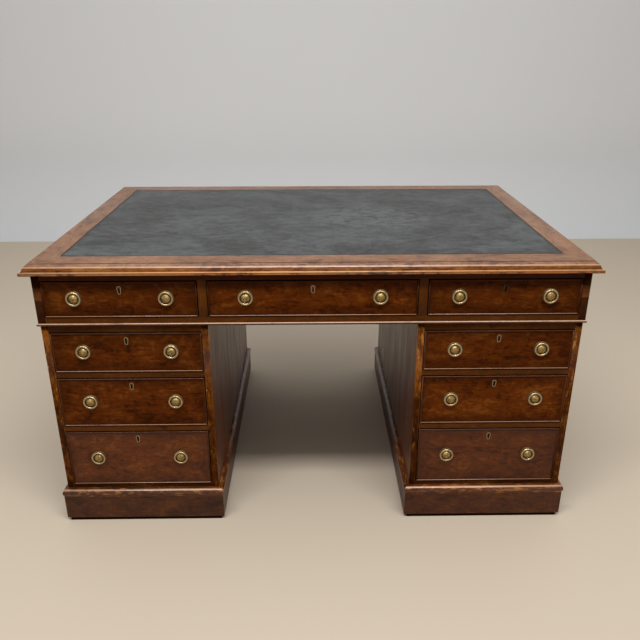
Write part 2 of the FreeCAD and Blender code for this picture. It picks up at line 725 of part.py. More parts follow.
def make_ring():
    """A round ring in front of the plate, cut at its top and joined there by its pivot pin."""
    ear_space = size["ear_width"] + size["ear_clearance"] * 2
    wire = size["ring_wire"]
    whole = doc.addObject("Part::Torus", "ring_round")
    bind(whole, Radius1=ring_radius, Radius2=wire / 2)
    place(whole, 0, -ring_plane, 0, STAND_UP)
    space = board("ring_gap", (-ear_space / 2, ear_space / 2), (-ring_plane - wire, -ring_plane + wire),
                  (ring_radius - wire, ring_radius + wire))
    opened = doc.addObject("Part::Cut", "ring_opened")
    opened.Base = whole
    opened.Tool = space
    pin_length = ear_space + wire
    pin = rod("ring_pin", size["ring_pin"], pin_length, -pin_length / 2, -ring_plane, ring_radius, ALONG_X)
    return fuse("ring", [opened, pin])


def make_nut():
    """A square nut behind the drawer front."""
    half = size["nut_width"] / 2
    block = board("nut_block", (-half, half), (front_thickness, front_thickness + size["nut_thickness"]),
                  (-half, half))
    bore = rod("nut_bore", size["stud_diameter"] + size["pin_clearance"] * 2,
               size["nut_thickness"] * 3, 0, front_thickness - size["nut_thickness"], 0, ALONG_Y)
    return cut("nut", block, [bore])


def keyhole_outline(grow):
    """Corners of a keyhole's outline: two unlike rounds joined by their tangents."""
    upper = size["escutcheon_upper"] + grow
    lower = size["escutcheon_lower"] + grow
    spread = size["escutcheon_spread"]
    lean = (size["escutcheon_upper"] - size["escutcheon_lower"]) / spread
    along = (Size.of(1) - lean * lean).root()
    high = spread / 2
    return ((upper * along, high + upper * lean, 0, high, 1),
            (-(upper * along), high + upper * lean),
            (-(lower * along), lower * lean - high, 0, -high, 1),
            (lower * along, lower * lean - high))


def make_escutcheon(name, outlines):
    """A keyhole outline carried from the face of the front back to the lock."""
    body = doc.addObject("PartDesign::Body", name)
    sketch = sketch_in(body, name + "_section", "XZ_Plane")
    for corners in outlines:
        draw(sketch, corners)
    pad = body.newObject("PartDesign::Pad", name + "_pad")
    pad.Profile = sketch
    pad.Reversed = True
    bind(pad, Length=front_thickness - size["lock_depth"])
    body.Tip = pad
    return body


def lock_spans():
    """The lock's case about the keyhole: the keyhole is nearer to the edge that the bolt leaves."""
    return ((-size["lock_width"] / 2, size["lock_width"] / 2),
            (front_thickness - size["lock_depth"], front_thickness),
            (keyhole_to_edge - size["lock_height"], keyhole_to_edge))


def make_lock(name):
    """The lock's case, about the keyhole."""
    return group(name, [board(f"{name}_block", *lock_spans())])


def make_key_pin():
    """The pin on the lock that the key fits over, in the keyhole's upper round."""
    sink = size["lock_pin_sink"]
    length = front_thickness - size["lock_depth"] - sink
    pin = rod("key_pin_rod", size["lock_pin"], length, 0, sink, size["escutcheon_spread"] / 2, ALONG_Y)
    return group("key_pin", [pin])


# Drawers

def make_drawer(name, width, height, length, handle_inset, at, turn):
    """One drawer in its opening, about the middle of the face of its front, with its brass."""
    half_x = width / 2 - drawer_gap
    half_z = height / 2 - drawer_gap
    bead = size["cockbead"]
    handle_x = half_x - handle_inset
    handle_z = size["handle_rise"]
    keyhole_z = half_z - size["keyhole_drop"]

    blank = board(f"{name}_front_blank", (bead - half_x, half_x - bead), (0, front_thickness),
                  (bead - half_z, half_z - bead))
    spaces = [copy_of(f"{name}_escutcheon_seat", pattern["escutcheon_seat"], z=keyhole_z),
              copy_of(f"{name}_lock_seat", pattern["lock_seat"], z=keyhole_z)]
    for end, x in SIDES:
        spaces.append(rod(f"{name}_stud_hole_{end}", size["stud_diameter"] + size["stud_clearance"] * 2,
                          front_thickness, handle_x * x, 0, handle_z, ALONG_Y))
    side_out = width / 2 - size["guide_clearance"]
    side_in = side_out - size["drawer_side"]
    low = size["run_clearance"] - height / 2
    high = height / 2 - size["kick_clearance"]
    bottom_low = low + size["drawer_bottom_lift"]
    bottom_high = bottom_low + size["drawer_bottom"]
    depth = (front_thickness, length)
    cockbeads = frame(f"{name}_cockbead", pattern["cockbead_section"], half_x * 2, half_z * 2, bead,
                      front_thickness + size["cockbead_proud"])
    node(name, [
        cut(f"{name}_front", blank, spaces),
        board(f"{name}_side_left", (-side_out, -side_in), depth, (low, high)),
        board(f"{name}_side_right", (side_in, side_out), depth, (low, high)),
        board(f"{name}_back", (-side_in, side_in), (length - size["drawer_back"], length),
              (bottom_high, high - size["drawer_back_drop"])),
        board(f"{name}_bottom", (-side_in, side_in), depth, (bottom_low, bottom_high)),
        group(f"{name}_cockbeads", cockbeads, y=front_thickness, turn=STAND_UP)], *at, turn)

    fittings = [copy_of(f"{name}_escutcheon", pattern["escutcheon"], z=keyhole_z),
                copy_of(f"{name}_key_pin", pattern["key_pin"], z=keyhole_z),
                copy_of(f"{name}_lock", pattern["lock"], z=keyhole_z)]
    rings = []
    for end, x in SIDES:
        fittings.append(copy_of(f"{name}_rose_{end}", pattern["rose"], handle_x * x, z=handle_z))
        fittings.append(copy_of(f"{name}_nut_{end}", pattern["nut"], handle_x * x, z=handle_z))
        rings.append(copy_of(f"{name}_ring_{end}", pattern["ring"], handle_x * x, z=handle_z))
    node(f"{name}_fittings", fittings, *at, turn)
    node(f"{name}_rings", rings, *at, turn)


def make_drawers():
    """Three drawers in each face of the frieze, and three in the front of each pedestal."""
    frieze_length = frieze_y - spine_face - size["run_clearance"]
    frieze_z = (lower_rail_top + upper_rail_bottom) / 2
    side_width = end_inside - divider_outer
    side_middle = (end_inside + divider_outer) / 2
    for face, y in FACES:
        turn = NO_TURN if y < 0 else HALF_TURN
        for side, x in SIDES:
            make_drawer(f"drawer_frieze_{face}_{side}", side_width, frieze_opening, frieze_length,
                        size["frieze_handle_inset"], (side_middle * x, frieze_y * y, frieze_z), turn)
        make_drawer(f"drawer_frieze_{face}_centre", divider_inner * 2, frieze_opening, frieze_length,
                    size["centre_handle_inset"], (0, frieze_y * y, frieze_z), turn)

    length = pedestal_y - partition_face - size["run_clearance"]
    levels = (("upper", upper_opening, upper_rail_top), ("middle", middle_opening, middle_rail_top),
              ("lower", lower_opening, floor_board_top))
    for side, x in SIDES:
        for level, height, rail_top in levels:
            make_drawer(f"drawer_{side}_{level}", opening_width, height, length, size["handle_inset"],
                        (pedestal_middle * x, -pedestal_y, rail_top + height / 2), NO_TURN)


# Cupboard doors

def hinge_rise(middle):
    """Lower and upper end of a hinge."""
    return (middle - size["hinge_length"] / 2, middle + size["hinge_length"] / 2)


def make_door(side, x, profile):
    """A framed door about the middle of its face, hinged on the pedestal's outer side."""
    name = f"door_{side}"
    hinge = -x
    half_x = door_width / 2
    half_z = door_height / 2
    inner_x = half_x - size["door_stile"]
    inner_z = half_z - size["door_stile"]
    thick = (0, front_thickness)
    tall = (-half_z, half_z)
    panel_back = size["panel_sink"] + size["door_panel"]
    keyhole_x = (half_x - keyhole_to_edge) * -hinge
    lock_turn = Rotation(Vector(0, 1, 0), -90 * hinge)
    at = (pedestal_middle * x, pedestal_y, door_middle)

    hanging = board(f"{name}_hinge_stile_blank", (inner_x * hinge, half_x * hinge), thick, tall)
    leaf_in = hinge_x - leaf_gap - size["hinge_leaf"]
    recess_x = (leaf_in * hinge, half_x * hinge)
    recesses = [board(f"{name}_recess_{index}", recess_x, (0, size["hinge_width"]),
                      hinge_rise(hinge_z * index)) for index in (1, -1)]
    locking = board(f"{name}_lock_stile_blank", (-inner_x * hinge, -half_x * hinge), thick, tall)
    seats = [copy_of(f"{name}_escutcheon_seat", pattern["escutcheon_seat"], keyhole_x),
             copy_of(f"{name}_lock_seat", pattern["lock_seat"], keyhole_x, turn=lock_turn)]
    moulding = frame(f"{name}_moulding", profile, inner_x * 2, inner_z * 2, size["panel_moulding"],
                     size["panel_sink"])
    node(name, [
        cut(f"{name}_hinge_stile", hanging, recesses),
        cut(f"{name}_lock_stile", locking, seats),
        board(f"{name}_rail_upper", (-inner_x, inner_x), thick, (inner_z, half_z)),
        board(f"{name}_rail_lower", (-inner_x, inner_x), thick, (-half_z, -inner_z)),
        board(f"{name}_panel", (-inner_x, inner_x), (size["panel_sink"], panel_back), (-inner_z, inner_z)),
        group(f"{name}_mouldings", moulding, y=size["panel_sink"], turn=STAND_UP)], *at, HALF_TURN)

    leaves = [make_moving_leaf(f"{name}_leaf_{index}", hinge, hinge_z * index) for index in (1, -1)]
    node(f"{name}_fittings", leaves + [
        copy_of(f"{name}_escutcheon", pattern["escutcheon"], keyhole_x),
        copy_of(f"{name}_key_pin", pattern["key_pin"], keyhole_x),
        copy_of(f"{name}_lock", pattern["lock"], keyhole_x, turn=lock_turn)], *at, HALF_TURN)
    return group(f"{side}_fixed_hinges", [
        make_fixed_leaf(f"{name}_fixed_leaf_{index}", hinge, hinge_z * index) for index in (1, -1)],
        *at, HALF_TURN)


def knuckle():
    """Half the length of the middle barrel of a hinge, before its clearance."""
    return size["hinge_length"] / 6


def make_moving_leaf(name, hinge, middle):
    """The leaf on the door, with the middle barrel."""
    low = (hinge_x - leaf_gap - size["hinge_leaf"]) * hinge
    high = (hinge_x - leaf_gap) * hinge
    half = knuckle() - leaf_gap
    rise = (middle - half, middle + half)
    plate = board(f"{name}_plate", (low, high), (size["hinge_clearance"], size["hinge_width"]),
                  hinge_rise(middle))
    tab = board(f"{name}_tab", (low, high), (-hinge_y, size["hinge_clearance"]), rise)
    barrel = rod(f"{name}_barrel", size["hinge_barrel"], half * 2, hinge_x * hinge, -hinge_y, middle - half)
    bore = rod(f"{name}_bore", size["hinge_pin"] + size["pin_clearance"] * 2, size["hinge_length"],
               hinge_x * hinge, -hinge_y, middle - size["hinge_length"] / 2)
    return cut(name, fuse(f"{name}_solid", [plate, tab, barrel]), [bore])


def make_fixed_leaf(name, hinge, middle):
    """The leaf on the pedestal, with the upper and lower barrels and the pin."""
    low = (hinge_x + leaf_gap) * hinge
    high = (hinge_x + leaf_gap + size["hinge_leaf"]) * hinge
    ends = hinge_rise(middle)
    pieces = [board(f"{name}_plate", (low, high), (size["hinge_clearance"], size["hinge_width"]), ends),
              rod(f"{name}_pin", size["hinge_pin"], size["hinge_length"], hinge_x * hinge, -hinge_y,
                  ends[0])]
    start = knuckle() + leaf_gap
    height = size["hinge_length"] / 2 - start
    for end, bottom in (("upper", middle + start), ("lower", ends[0])):
        pieces.append(board(f"{name}_tab_{end}", (low, high), (-hinge_y, size["hinge_clearance"]),
                            (bottom, bottom + height)))
        pieces.append(rod(f"{name}_barrel_{end}", size["hinge_barrel"], height, hinge_x * hinge, -hinge_y,
                          bottom))
    return fuse(name, pieces)


def cockbead_section():
    """A strip with a half-round nose."""
    bead = size["cockbead"]
    nose = front_thickness + size["cockbead_proud"] - bead / 2
    return section("cockbead_section", ((0, 0), (bead, 0), (bead, nose, bead / 2, nose, 1), (0, nose)))


def panel_section():
    """A quarter round against the door's frame, flush with its face."""
    width = size["panel_moulding"]
    lip = size["panel_moulding_lip"]
    radius = size["panel_sink"] - lip
    return section("panel_section", (
        (0, 0),
        (width, 0),
        (width, lip, width - radius, lip, 1),
        (width - radius, size["panel_sink"]),
        (0, size["panel_sink"])))


# Shapes that are made once and copied

pattern = {
    "rose": make_rose(),
    "ring": make_ring(),
    "nut": make_nut(),
    "escutcheon": make_escutcheon("escutcheon", (keyhole_outline(Size.of(0)),
                                                 keyhole_outline(-size["escutcheon_wall"]))),
    "escutcheon_seat": make_escutcheon("escutcheon_seat", (keyhole_outline(size["escutcheon_fit"]),)),
    "key_pin": make_key_pin(),
    "lock": make_lock("lock"),
    "lock_seat": make_lock("lock_seat"),
    "cockbead_section": cockbead_section(),
}

make_top()
make_frieze()
base_profile = base_section()
panel_profile = panel_section()
fixed_hinges = []
for side, x in SIDES:
    make_pedestal(side, x)
    make_plinth(side, x, base_profile)
    fixed_hinges.append(make_door(side, x, panel_profile))
make_feet()
make_drawers()
node("door_hinges", fixed_hinges)


# Checks and files

doc.recompute()
for item in doc.Objects:
    if "Invalid" in item.State or "Error" in item.State:
        raise RuntimeError(f"{item.Label} failed: {item.State}")
for item in nodes:
    if item.Shape.isNull() or not item.Shape.isValid() or not item.Shape.Solids:
        raise RuntimeError(f"{item.Label} has no valid shape")

os.makedirs("parts", exist_ok=True)
for item in nodes:
    item.Shape.exportStep(f"parts/{item.Label}.step")
print(len(nodes), "sub-parts,", sum(len(item.Shape.Solids) for item in nodes), "solids")
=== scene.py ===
"""Partners desk in aged mahogany: the finishes, eased edges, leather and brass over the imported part.

The desk stands on its floor centre, in metres. The drawers of the pedestals face -Y.
"""
import json
import math
import random

import bpy
import numpy as np
from bpy.props import FloatProperty, FloatVectorProperty, PointerProperty
from mathutils import Matrix, Vector

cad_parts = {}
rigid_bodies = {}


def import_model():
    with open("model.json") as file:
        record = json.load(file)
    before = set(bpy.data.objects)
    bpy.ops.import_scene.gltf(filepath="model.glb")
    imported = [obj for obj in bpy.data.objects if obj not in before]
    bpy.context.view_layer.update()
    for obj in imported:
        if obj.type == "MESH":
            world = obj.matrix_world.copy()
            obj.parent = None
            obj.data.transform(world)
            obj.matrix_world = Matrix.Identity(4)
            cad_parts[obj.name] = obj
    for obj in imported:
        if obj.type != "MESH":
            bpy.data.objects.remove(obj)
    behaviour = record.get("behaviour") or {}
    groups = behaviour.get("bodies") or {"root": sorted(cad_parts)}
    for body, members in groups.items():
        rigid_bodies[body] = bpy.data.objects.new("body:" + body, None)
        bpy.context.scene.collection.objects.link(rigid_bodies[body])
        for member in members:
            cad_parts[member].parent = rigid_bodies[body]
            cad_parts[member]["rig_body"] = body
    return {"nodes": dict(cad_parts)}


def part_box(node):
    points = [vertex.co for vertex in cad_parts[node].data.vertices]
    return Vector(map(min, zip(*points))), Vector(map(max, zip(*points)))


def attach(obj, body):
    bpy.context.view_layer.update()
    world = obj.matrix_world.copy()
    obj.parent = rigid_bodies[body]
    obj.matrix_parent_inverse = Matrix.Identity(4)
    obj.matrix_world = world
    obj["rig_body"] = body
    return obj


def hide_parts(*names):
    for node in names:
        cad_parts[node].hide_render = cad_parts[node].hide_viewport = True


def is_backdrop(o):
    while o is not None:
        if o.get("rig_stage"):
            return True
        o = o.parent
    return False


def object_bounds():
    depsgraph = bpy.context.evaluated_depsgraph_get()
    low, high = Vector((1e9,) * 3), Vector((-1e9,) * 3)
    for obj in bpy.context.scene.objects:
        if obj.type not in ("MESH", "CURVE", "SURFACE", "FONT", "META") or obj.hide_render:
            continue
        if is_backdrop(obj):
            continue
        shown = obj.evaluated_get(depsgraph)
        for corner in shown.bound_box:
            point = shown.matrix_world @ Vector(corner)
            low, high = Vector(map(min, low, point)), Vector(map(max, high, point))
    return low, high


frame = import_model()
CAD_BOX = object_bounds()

bl_info = {
    "name": "Partners Desk",
    "version": (1, 0, 0),
    "blender": (4, 5, 0),
    "location": "View3D > Sidebar > Desk",
    "description": "Finishes a leather-topped pedestal desk with brass ring pulls",
    "category": "Object",
}

SIDES = ("left", "right")
PEDESTAL_DRAWERS = [f"drawer_{side}_{level}" for side in SIDES for level in ("upper", "middle", "lower")]
FRIEZE_DRAWERS = [f"drawer_frieze_{face}_{bay}" for face in ("front", "back")
                  for bay in ("left", "centre", "right")]
DRAWERS = FRIEZE_DRAWERS + PEDESTAL_DRAWERS
DARK_KEYHOLES = ("drawer_frieze_front_right",)
X, Y, Z = range(3)
RUBBED_SPOT = (0.14, -0.01, 0.78)

# Meshes: decimals to which copies of one point agree, flat and sharp angles, and the shortest lengths
SAME_POINT = 6
COPLANAR = math.radians(0.2)
EDGE_ANGLE = math.radians(40)
SHORT_EDGE = 0.03
SLIVER = 0.00002

# How far apart in the log the boards are cut
LOG_REACH = 9


# Sizes and colours that a user would change

def length(name, description, default):
    """A length in metres for the sidebar."""
    return FloatProperty(name=name, description=description, default=default, min=0, unit="LENGTH",
                         precision=5)


def colour(name, description, default):
    """A linear colour for the sidebar."""
    return FloatVectorProperty(name=name, description=description, default=default, min=0, max=1,
                               subtype="COLOR", size=3)


def share(name, description, default):
    """A number from 0 to 1 for the sidebar."""
    return FloatProperty(name=name, description=description, default=default, min=0, max=1,
                         subtype="FACTOR")


class DeskSizes(bpy.types.PropertyGroup):
    """How far edges are eased, and the small lengths of the leather."""
    board_ease: length("Board edges", "Width of the eased edges of boards", 0.0008)
    moulding_ease: length("Moulding edges", "Width of the eased edges of mouldings and drawers", 0.0003)
    leather_roll: length("Leather roll", "Edge of the leather that turns down to the border", 0.0009)
    leather_wave: length("Leather wave", "Height of the unevenness in the leather", 0.0002)


class DeskColours(bpy.types.PropertyGroup):
    """Colours of the woods, the leather and the brass."""
    wood_dark: colour("Mahogany dark", "Darkest lines of the mahogany", (0.036, 0.0070, 0.0006))
    wood_middle: colour("Mahogany", "Body of the mahogany", (0.092, 0.0195, 0.0012))
    wood_light: colour("Mahogany light", "Palest streaks of the mahogany", (0.150, 0.0420, 0.0050))
    wood_worn: colour("Worn mahogany", "Where the polish has rubbed off", (0.420, 0.165, 0.0340))
    golden: colour("Golden mahogany", "Body of the plain boards and front edges", (0.088, 0.0250, 0.0018))
    # Rubbed line: rubbed wear with a painted highlight, on the up-facing rounds of the beads and of the
    # plinth moulding
    rubbed_line: colour("Rubbed line", "Rounds of the beads, rubbed pale", (0.470, 0.265, 0.1500))
    # Lip line: rubbed wear with a painted highlight, on the upper round of the top's lip
    lip_rub_highlight: colour("Lip line", "Rubbed upper corner of the top's lip", (0.880, 0.450, 0.1900))
    edge_dark: colour("Top edge dark", "Dark streaks of the moulded edges", (0.060, 0.0130, 0.0020))
    edge: colour("Top edge", "Body of the moulded edges", (0.400, 0.1200, 0.0190))
    # Faded top: fading with a painted grey sheen of reflected light, on the border and the shoulder of its
    # edge
    faded_sheen_dark: colour("Faded top dark", "Dark grain of the faded border", (0.070, 0.0220, 0.0060))
    faded: colour("Faded top", "Body of the faded border", (0.175, 0.070, 0.0260))
    faded_sheen_light: colour("Faded top light", "Palest streaks of the faded border", (0.260, 0.118, 0.0500))
    lining_dark: colour("Lining dark", "Dark grain of the drawer linings", (0.170, 0.090, 0.040))
    lining_light: colour("Lining", "Body of the drawer linings", (0.380, 0.235, 0.120))
    leather: colour("Leather", "Body of the leather", (0.012, 0.0124, 0.0122))
    leather_scuff: colour("Leather scuffs", "Rubbed parts of the leather", (0.083, 0.088, 0.089))
    brass: colour("Brass", "Rubbed brass of the rings and rims", (0.450, 0.335, 0.185))
    brass_boss: colour("Boss brass", "Brass of the bosses", (0.390, 0.255, 0.095))
    brass_dull: colour("Dull brass", "Brass in the hollows", (0.110, 0.072, 0.026))
    iron: colour("Lock iron", "Cases of the locks", (0.170, 0.150, 0.120))


class DeskStage(bpy.types.PropertyGroup):
    """Floor, light and camera."""
    floor: colour("Floor", "Plain pale floor", (0.600, 0.510, 0.400))
    wall: colour("Backdrop", "Plain pale backdrop", (0.840, 0.855, 0.870))
    sky: share("Sky", "Strength of the light from all round", 0.20)
    ceiling_light: FloatProperty(name="Ceiling", description="Power of the broad lamp overhead", default=90,
                                 min=0, unit="POWER")
    strip_light: FloatProperty(name="Strip", description="Power of the long lamp above the front", default=88,
                               min=0, unit="POWER")
    lens: FloatProperty(name="Lens", description="Focal length", default=38.0, min=1, unit="CAMERA")
    camera: FloatVectorProperty(name="Camera", description="Place of the camera", size=3,
                                default=(-0.0052, -2.0908, 1.2893), subtype="TRANSLATION")
    pitch: FloatProperty(name="Pitch", description="How far the camera looks down", default=0.3914,
                         subtype="ANGLE")
    yaw: FloatProperty(name="Yaw", description="How far the camera turns right", default=0.0141,
                       subtype="ANGLE")
    roll: FloatProperty(name="Roll", description="How far the camera leans", default=-0.0013,
                        subtype="ANGLE")


# Materials

class Finish:
    """A material whose nodes are added one at a time; a socket given as a value is linked."""

    def __init__(self, name):
        self.material = bpy.data.materials.new(name)
        self.material.use_nodes = True
        self.tree = self.material.node_tree
        self.shader = self.tree.nodes["Principled BSDF"]

    def put(self, socket, value):
        if isinstance(value, bpy.types.NodeSocket):
            self.tree.links.new(value, socket)
        else:
            socket.default_value = value

    def node(self, kind, **values):
        made = self.tree.nodes.new(kind)
        for name, value in values.items():
            self.put(made.inputs[name.replace("_", " ")], value)
        return made

    def surface(self, **values):
        for name, value in values.items():
            self.put(self.shader.inputs[name.replace("_", " ")], value)

    def attribute(self, name, output="Fac"):
        made = self.tree.nodes.new("ShaderNodeAttribute")
        made.attribute_name = name
        return made.outputs[output]

    def place(self):
        return self.tree.nodes.new("ShaderNodeTexCoord").outputs["Object"]

    def stretch(self, vector, scale):
        return self.node("ShaderNodeMapping", Vector=vector, Scale=scale).outputs[0]

    def noise(self, vector, scale=1, detail=2, roughness=0.5, distortion=0):
        return self.node("ShaderNodeTexNoise", Vector=vector, Scale=scale, Detail=detail, Roughness=roughness,
                         Distortion=distortion).outputs["Fac"]

    def streaks(self, vector, scale, **shape):
        """Noise that is drawn out or squeezed along the axes."""
        return self.noise(self.stretch(vector, scale), **shape)

    def cells(self, vector, scale):
        made = self.node("ShaderNodeTexVoronoi", Vector=vector, Scale=scale)
        made.feature = "DISTANCE_TO_EDGE"
        return made.outputs["Distance"]

    def fit(self, value, low, high, new_low=0, new_high=1):
        made = self.node("ShaderNodeMapRange", Value=value, From_Min=low, From_Max=high, To_Min=new_low,
                         To_Max=new_high)
        made.interpolation_type = "SMOOTHSTEP"
        return made.outputs[0]

    def math(self, operation, *values):
        made = self.tree.nodes.new("ShaderNodeMath")
        made.operation = operation
        for socket, value in zip(made.inputs, values):
            self.put(socket, value)
        return made.outputs[0]

    def weighted(self, *parts):
        """The sum of values that each have a weight."""
        total = 0.0
        for value, weight in parts:
            total = self.math("MULTIPLY_ADD", value, weight, total)
        return total

    def mix(self, factor, first, second, blend="MIX"):
        made = self.tree.nodes.new("ShaderNodeMix")
        made.data_type = "RGBA"
        made.blend_type = blend
        for index, value in ((0, factor), (6, first), (7, second)):
            self.put(made.inputs[index], (*value, 1) if isinstance(value, tuple) else value)
        return made.outputs[2]

    def shade(self, colour, level):
        """A colour made lighter or darker by a value that varies over the surface."""
        grey = self.node("ShaderNodeCombineColor", Red=level, Green=level, Blue=level).outputs[0]
        return self.mix(1.0, colour, grey, "MULTIPLY")

    def vector(self, operation, *values):
        made = self.tree.nodes.new("ShaderNodeVectorMath")
        made.operation = operation
        for socket, value in zip(made.inputs, values):
            self.put(socket, value)
        return made.outputs["Value" if operation == "DISTANCE" else "Vector"]

    def from_rim(self, first, second):
        """How far a point of a board lies from the nearest end of the board along two axes."""
        place = self.place()
        inside = self.vector("MINIMUM", self.vector("SUBTRACT", place, self.attribute("low", "Vector")),
                             self.vector("SUBTRACT", self.attribute("high", "Vector"), place))
        axes = self.node("ShaderNodeSeparateXYZ", Vector=inside)
        return self.math("MINIMUM", axes.outputs[first], axes.outputs[second])

    def bump(self, height, strength, distance):
        return self.node("ShaderNodeBump", Height=height, Strength=strength, Distance=distance).outputs[0]

    def clear_behind(self):
        """Lets the back of the surface be seen through."""
        behind = self.node("ShaderNodeNewGeometry").outputs["Backfacing"]
        sides = self.node("ShaderNodeMixShader", Fac=behind)
        self.put(sides.inputs[1], self.shader.outputs[0])
        self.put(sides.inputs[2], self.node("ShaderNodeBsdfTransparent").outputs[0])
        self.put(self.tree.nodes["Material Output"].inputs["Surface"], sides.outputs[0])


def polished_wood(name, tones, worn, contrast=1.0, wear=0.0, roughness=0.4, specular=0.08, coat=0.0,
                  bump=0.12, grime_and_shade=0.0):
    """Grain along each board: growth bands, mottled figure, fine fibres and pores under a satin polish."""
    dark, middle, light = tones
    finish = Finish(name)
    grain = finish.attribute("grain", "Vector")
    bands = finish.streaks(grain, (4.5, 16, 16), detail=3, roughness=0.55, distortion=1.2)
    mottle = finish.streaks(grain, (34, 46, 46), detail=5, roughness=0.68, distortion=1.1)
    fibre = finish.streaks(grain, (34, 260, 260), detail=3, roughness=0.6)
    pores = finish.streaks(grain, (60, 1250, 1250), detail=1)
    tone = finish.weighted((mottle, 0.42), (bands, 0.34), (fibre, 0.24))
    spread = 0.16 / contrast
    low_tone, middle_tone, high_tone = 0.5 - spread, 0.5, 0.5 + spread
    colour = finish.mix(finish.fit(tone, low_tone, middle_tone), dark, middle)
    colour = finish.mix(finish.fit(tone, middle_tone, high_tone), colour, light)
    colour = finish.mix(finish.fit(pores, 0.60, 0.74, 0, 0.6), colour, dark)
    colour = finish.shade(colour, finish.fit(finish.attribute("tone"), 0, 1, 0.9, 1.1))
    # Darker towards the rim of the board: dirt with painted shade along the beads around it
    if grime_and_shade:
        ragged = finish.math("SUBTRACT", mottle, 0.5)
        rim = finish.math("MULTIPLY_ADD", ragged, 0.03, finish.from_rim("X", "Z"))
        colour = finish.mix(finish.fit(rim, 0.002, 0.040, grime_and_shade, 0), colour, scaled(dark, 0.5))
    rubbed = finish.streaks(grain, (26, 75, 75), detail=4, roughness=0.65)
    edge = finish.math("MULTIPLY", finish.attribute("eased"), finish.fit(rubbed, 0.4, 0.6, 0.1, 0.6))
    patch = finish.fit(rubbed, 0.66 - wear * 0.2, 0.74 - wear * 0.14, 0, wear)
    colour = finish.mix(finish.math("MAXIMUM", edge, patch), colour, worn)
    sheen = finish.streaks(grain, (5, 22, 22))
    finish.surface(
        Base_Color=colour,
        Roughness=finish.fit(finish.math("MULTIPLY_ADD", fibre, 0.4, sheen), 0.35, 1.05,
                             roughness - 0.07, roughness + 0.09),
        Normal=finish.bump(finish.math("MULTIPLY_ADD", pores, -0.6, fibre), bump, 0.0003),
        Specular_IOR_Level=specular,
        Coat_Weight=coat,
        Coat_Roughness=0.2)
    return finish.material


def plain_wood(name, dark, light, stain):
    """Unpolished wood of the linings: straight grain, fine fibres and a grey cast of age."""
    finish = Finish(name)
    grain = finish.attribute("grain", "Vector")
    bands = finish.streaks(grain, (1.2, 34, 34), detail=3, roughness=0.6, distortion=1.2)
    fibre = finish.streaks(grain, (9, 420, 420), detail=3, roughness=0.65)
    age = finish.streaks(grain, (4, 6, 6), detail=3)
    tone = finish.weighted((bands, 0.6), (fibre, 0.45))
    colour = finish.mix(finish.fit(tone, 0.3, 0.75), dark, light)
    colour = finish.mix(finish.fit(age, 0.45, 0.75, 0, 0.5), colour, stain)
    colour = finish.shade(colour, finish.fit(finish.attribute("tone"), 0, 1, 0.82, 1.15))
    finish.surface(
        Base_Color=colour,
        Roughness=finish.fit(fibre, 0.3, 0.7, 0.58, 0.74),
        Normal=finish.bump(fibre, 0.25, 0.0003),
        Specular_IOR_Level=0.3)
    return finish.material


def desk_leather(name, body, scuff, rub_place):
    """Dark skiver: fine pebbled grain, streaky mottling, a rubbed patch, and dirt with painted shade along
    the border.
    """
    finish = Finish(name)
    place = finish.place()
    pebble = finish.cells(place, 950)
    cloud = finish.noise(place, 4.5, detail=4, roughness=0.6, distortion=0.5)
    smear = finish.streaks(place, (30, 70, 70), detail=5, roughness=0.75, distortion=0.5)
    fleck = finish.streaks(place, (150, 260, 260), detail=3, roughness=0.75)
    scratch = finish.streaks(place, (10, 240, 1), distortion=0.9)
    reach = finish.vector("DISTANCE", finish.stretch(place, (0.75, 1, 1)), rub_place)
    near = finish.fit(reach, 0.02, 0.17, 1, 0)
    rubbed = finish.math("MULTIPLY", near, finish.fit(smear, 0.4, 0.7))
    tone = finish.weighted(
        (fleck, 0.56),
        (finish.fit(smear, 0.34, 0.66), 0.36),
        (finish.fit(cloud, 0.3, 0.7), 0.30),
        (rubbed, 0.95),
        (finish.fit(scratch, 0.68, 0.80), 0.25))
    colour = finish.mix(finish.fit(tone, 0.32, 1.0), body, scuff)
    # Darker along the border: dirt with painted shade where the leather meets the border
    ragged = finish.math("SUBTRACT", smear, 0.5)
    rim = finish.math("MULTIPLY_ADD", ragged, 0.012, finish.from_rim("X", "Y"))
    colour = finish.mix(finish.fit(rim, 0.001, 0.012, 0.75, 0), colour, scaled(body, 0.35))
    finish.surface(
        Base_Color=colour,
        Roughness=finish.fit(finish.math("ADD", cloud, smear), 0.6, 1.3, 0.40, 0.56),
        Normal=finish.bump(finish.fit(pebble, 0, 0.25), 0.35, 0.0002),
        Specular_IOR_Level=0.32)
    return finish.material


def aged_metal(name, bright, dull, roughness, mottle=0.0):
    """Cast and turned metal, rubbed bright where hands reach, dull in the hollows, and darkened where painted
    shade is asked for.
    """
    finish = Finish(name)
    place = finish.place()
    tarnish = finish.noise(place, 170, detail=4, roughness=0.65)
    spots = finish.noise(place, 620, detail=2, roughness=0.6)
    clouded = finish.fit(tarnish, 0.46 - 0.1 * mottle, 0.78 - 0.18 * mottle, 0, 0.6 + 0.3 * mottle)
    worn = finish.math("MAXIMUM", finish.attribute("hollow"), clouded)
    worn = finish.math("MAXIMUM", worn, finish.fit(spots, 0.64, 0.78, 0, 0.55))
    finish.surface(
        Base_Color=finish.mix(worn, bright, dull),
        Metallic=1.0,
        Roughness=finish.fit(worn, 0, 1, roughness, roughness + 0.25),
        Normal=finish.bump(spots, 0.12, 0.0002))
    return finish.material


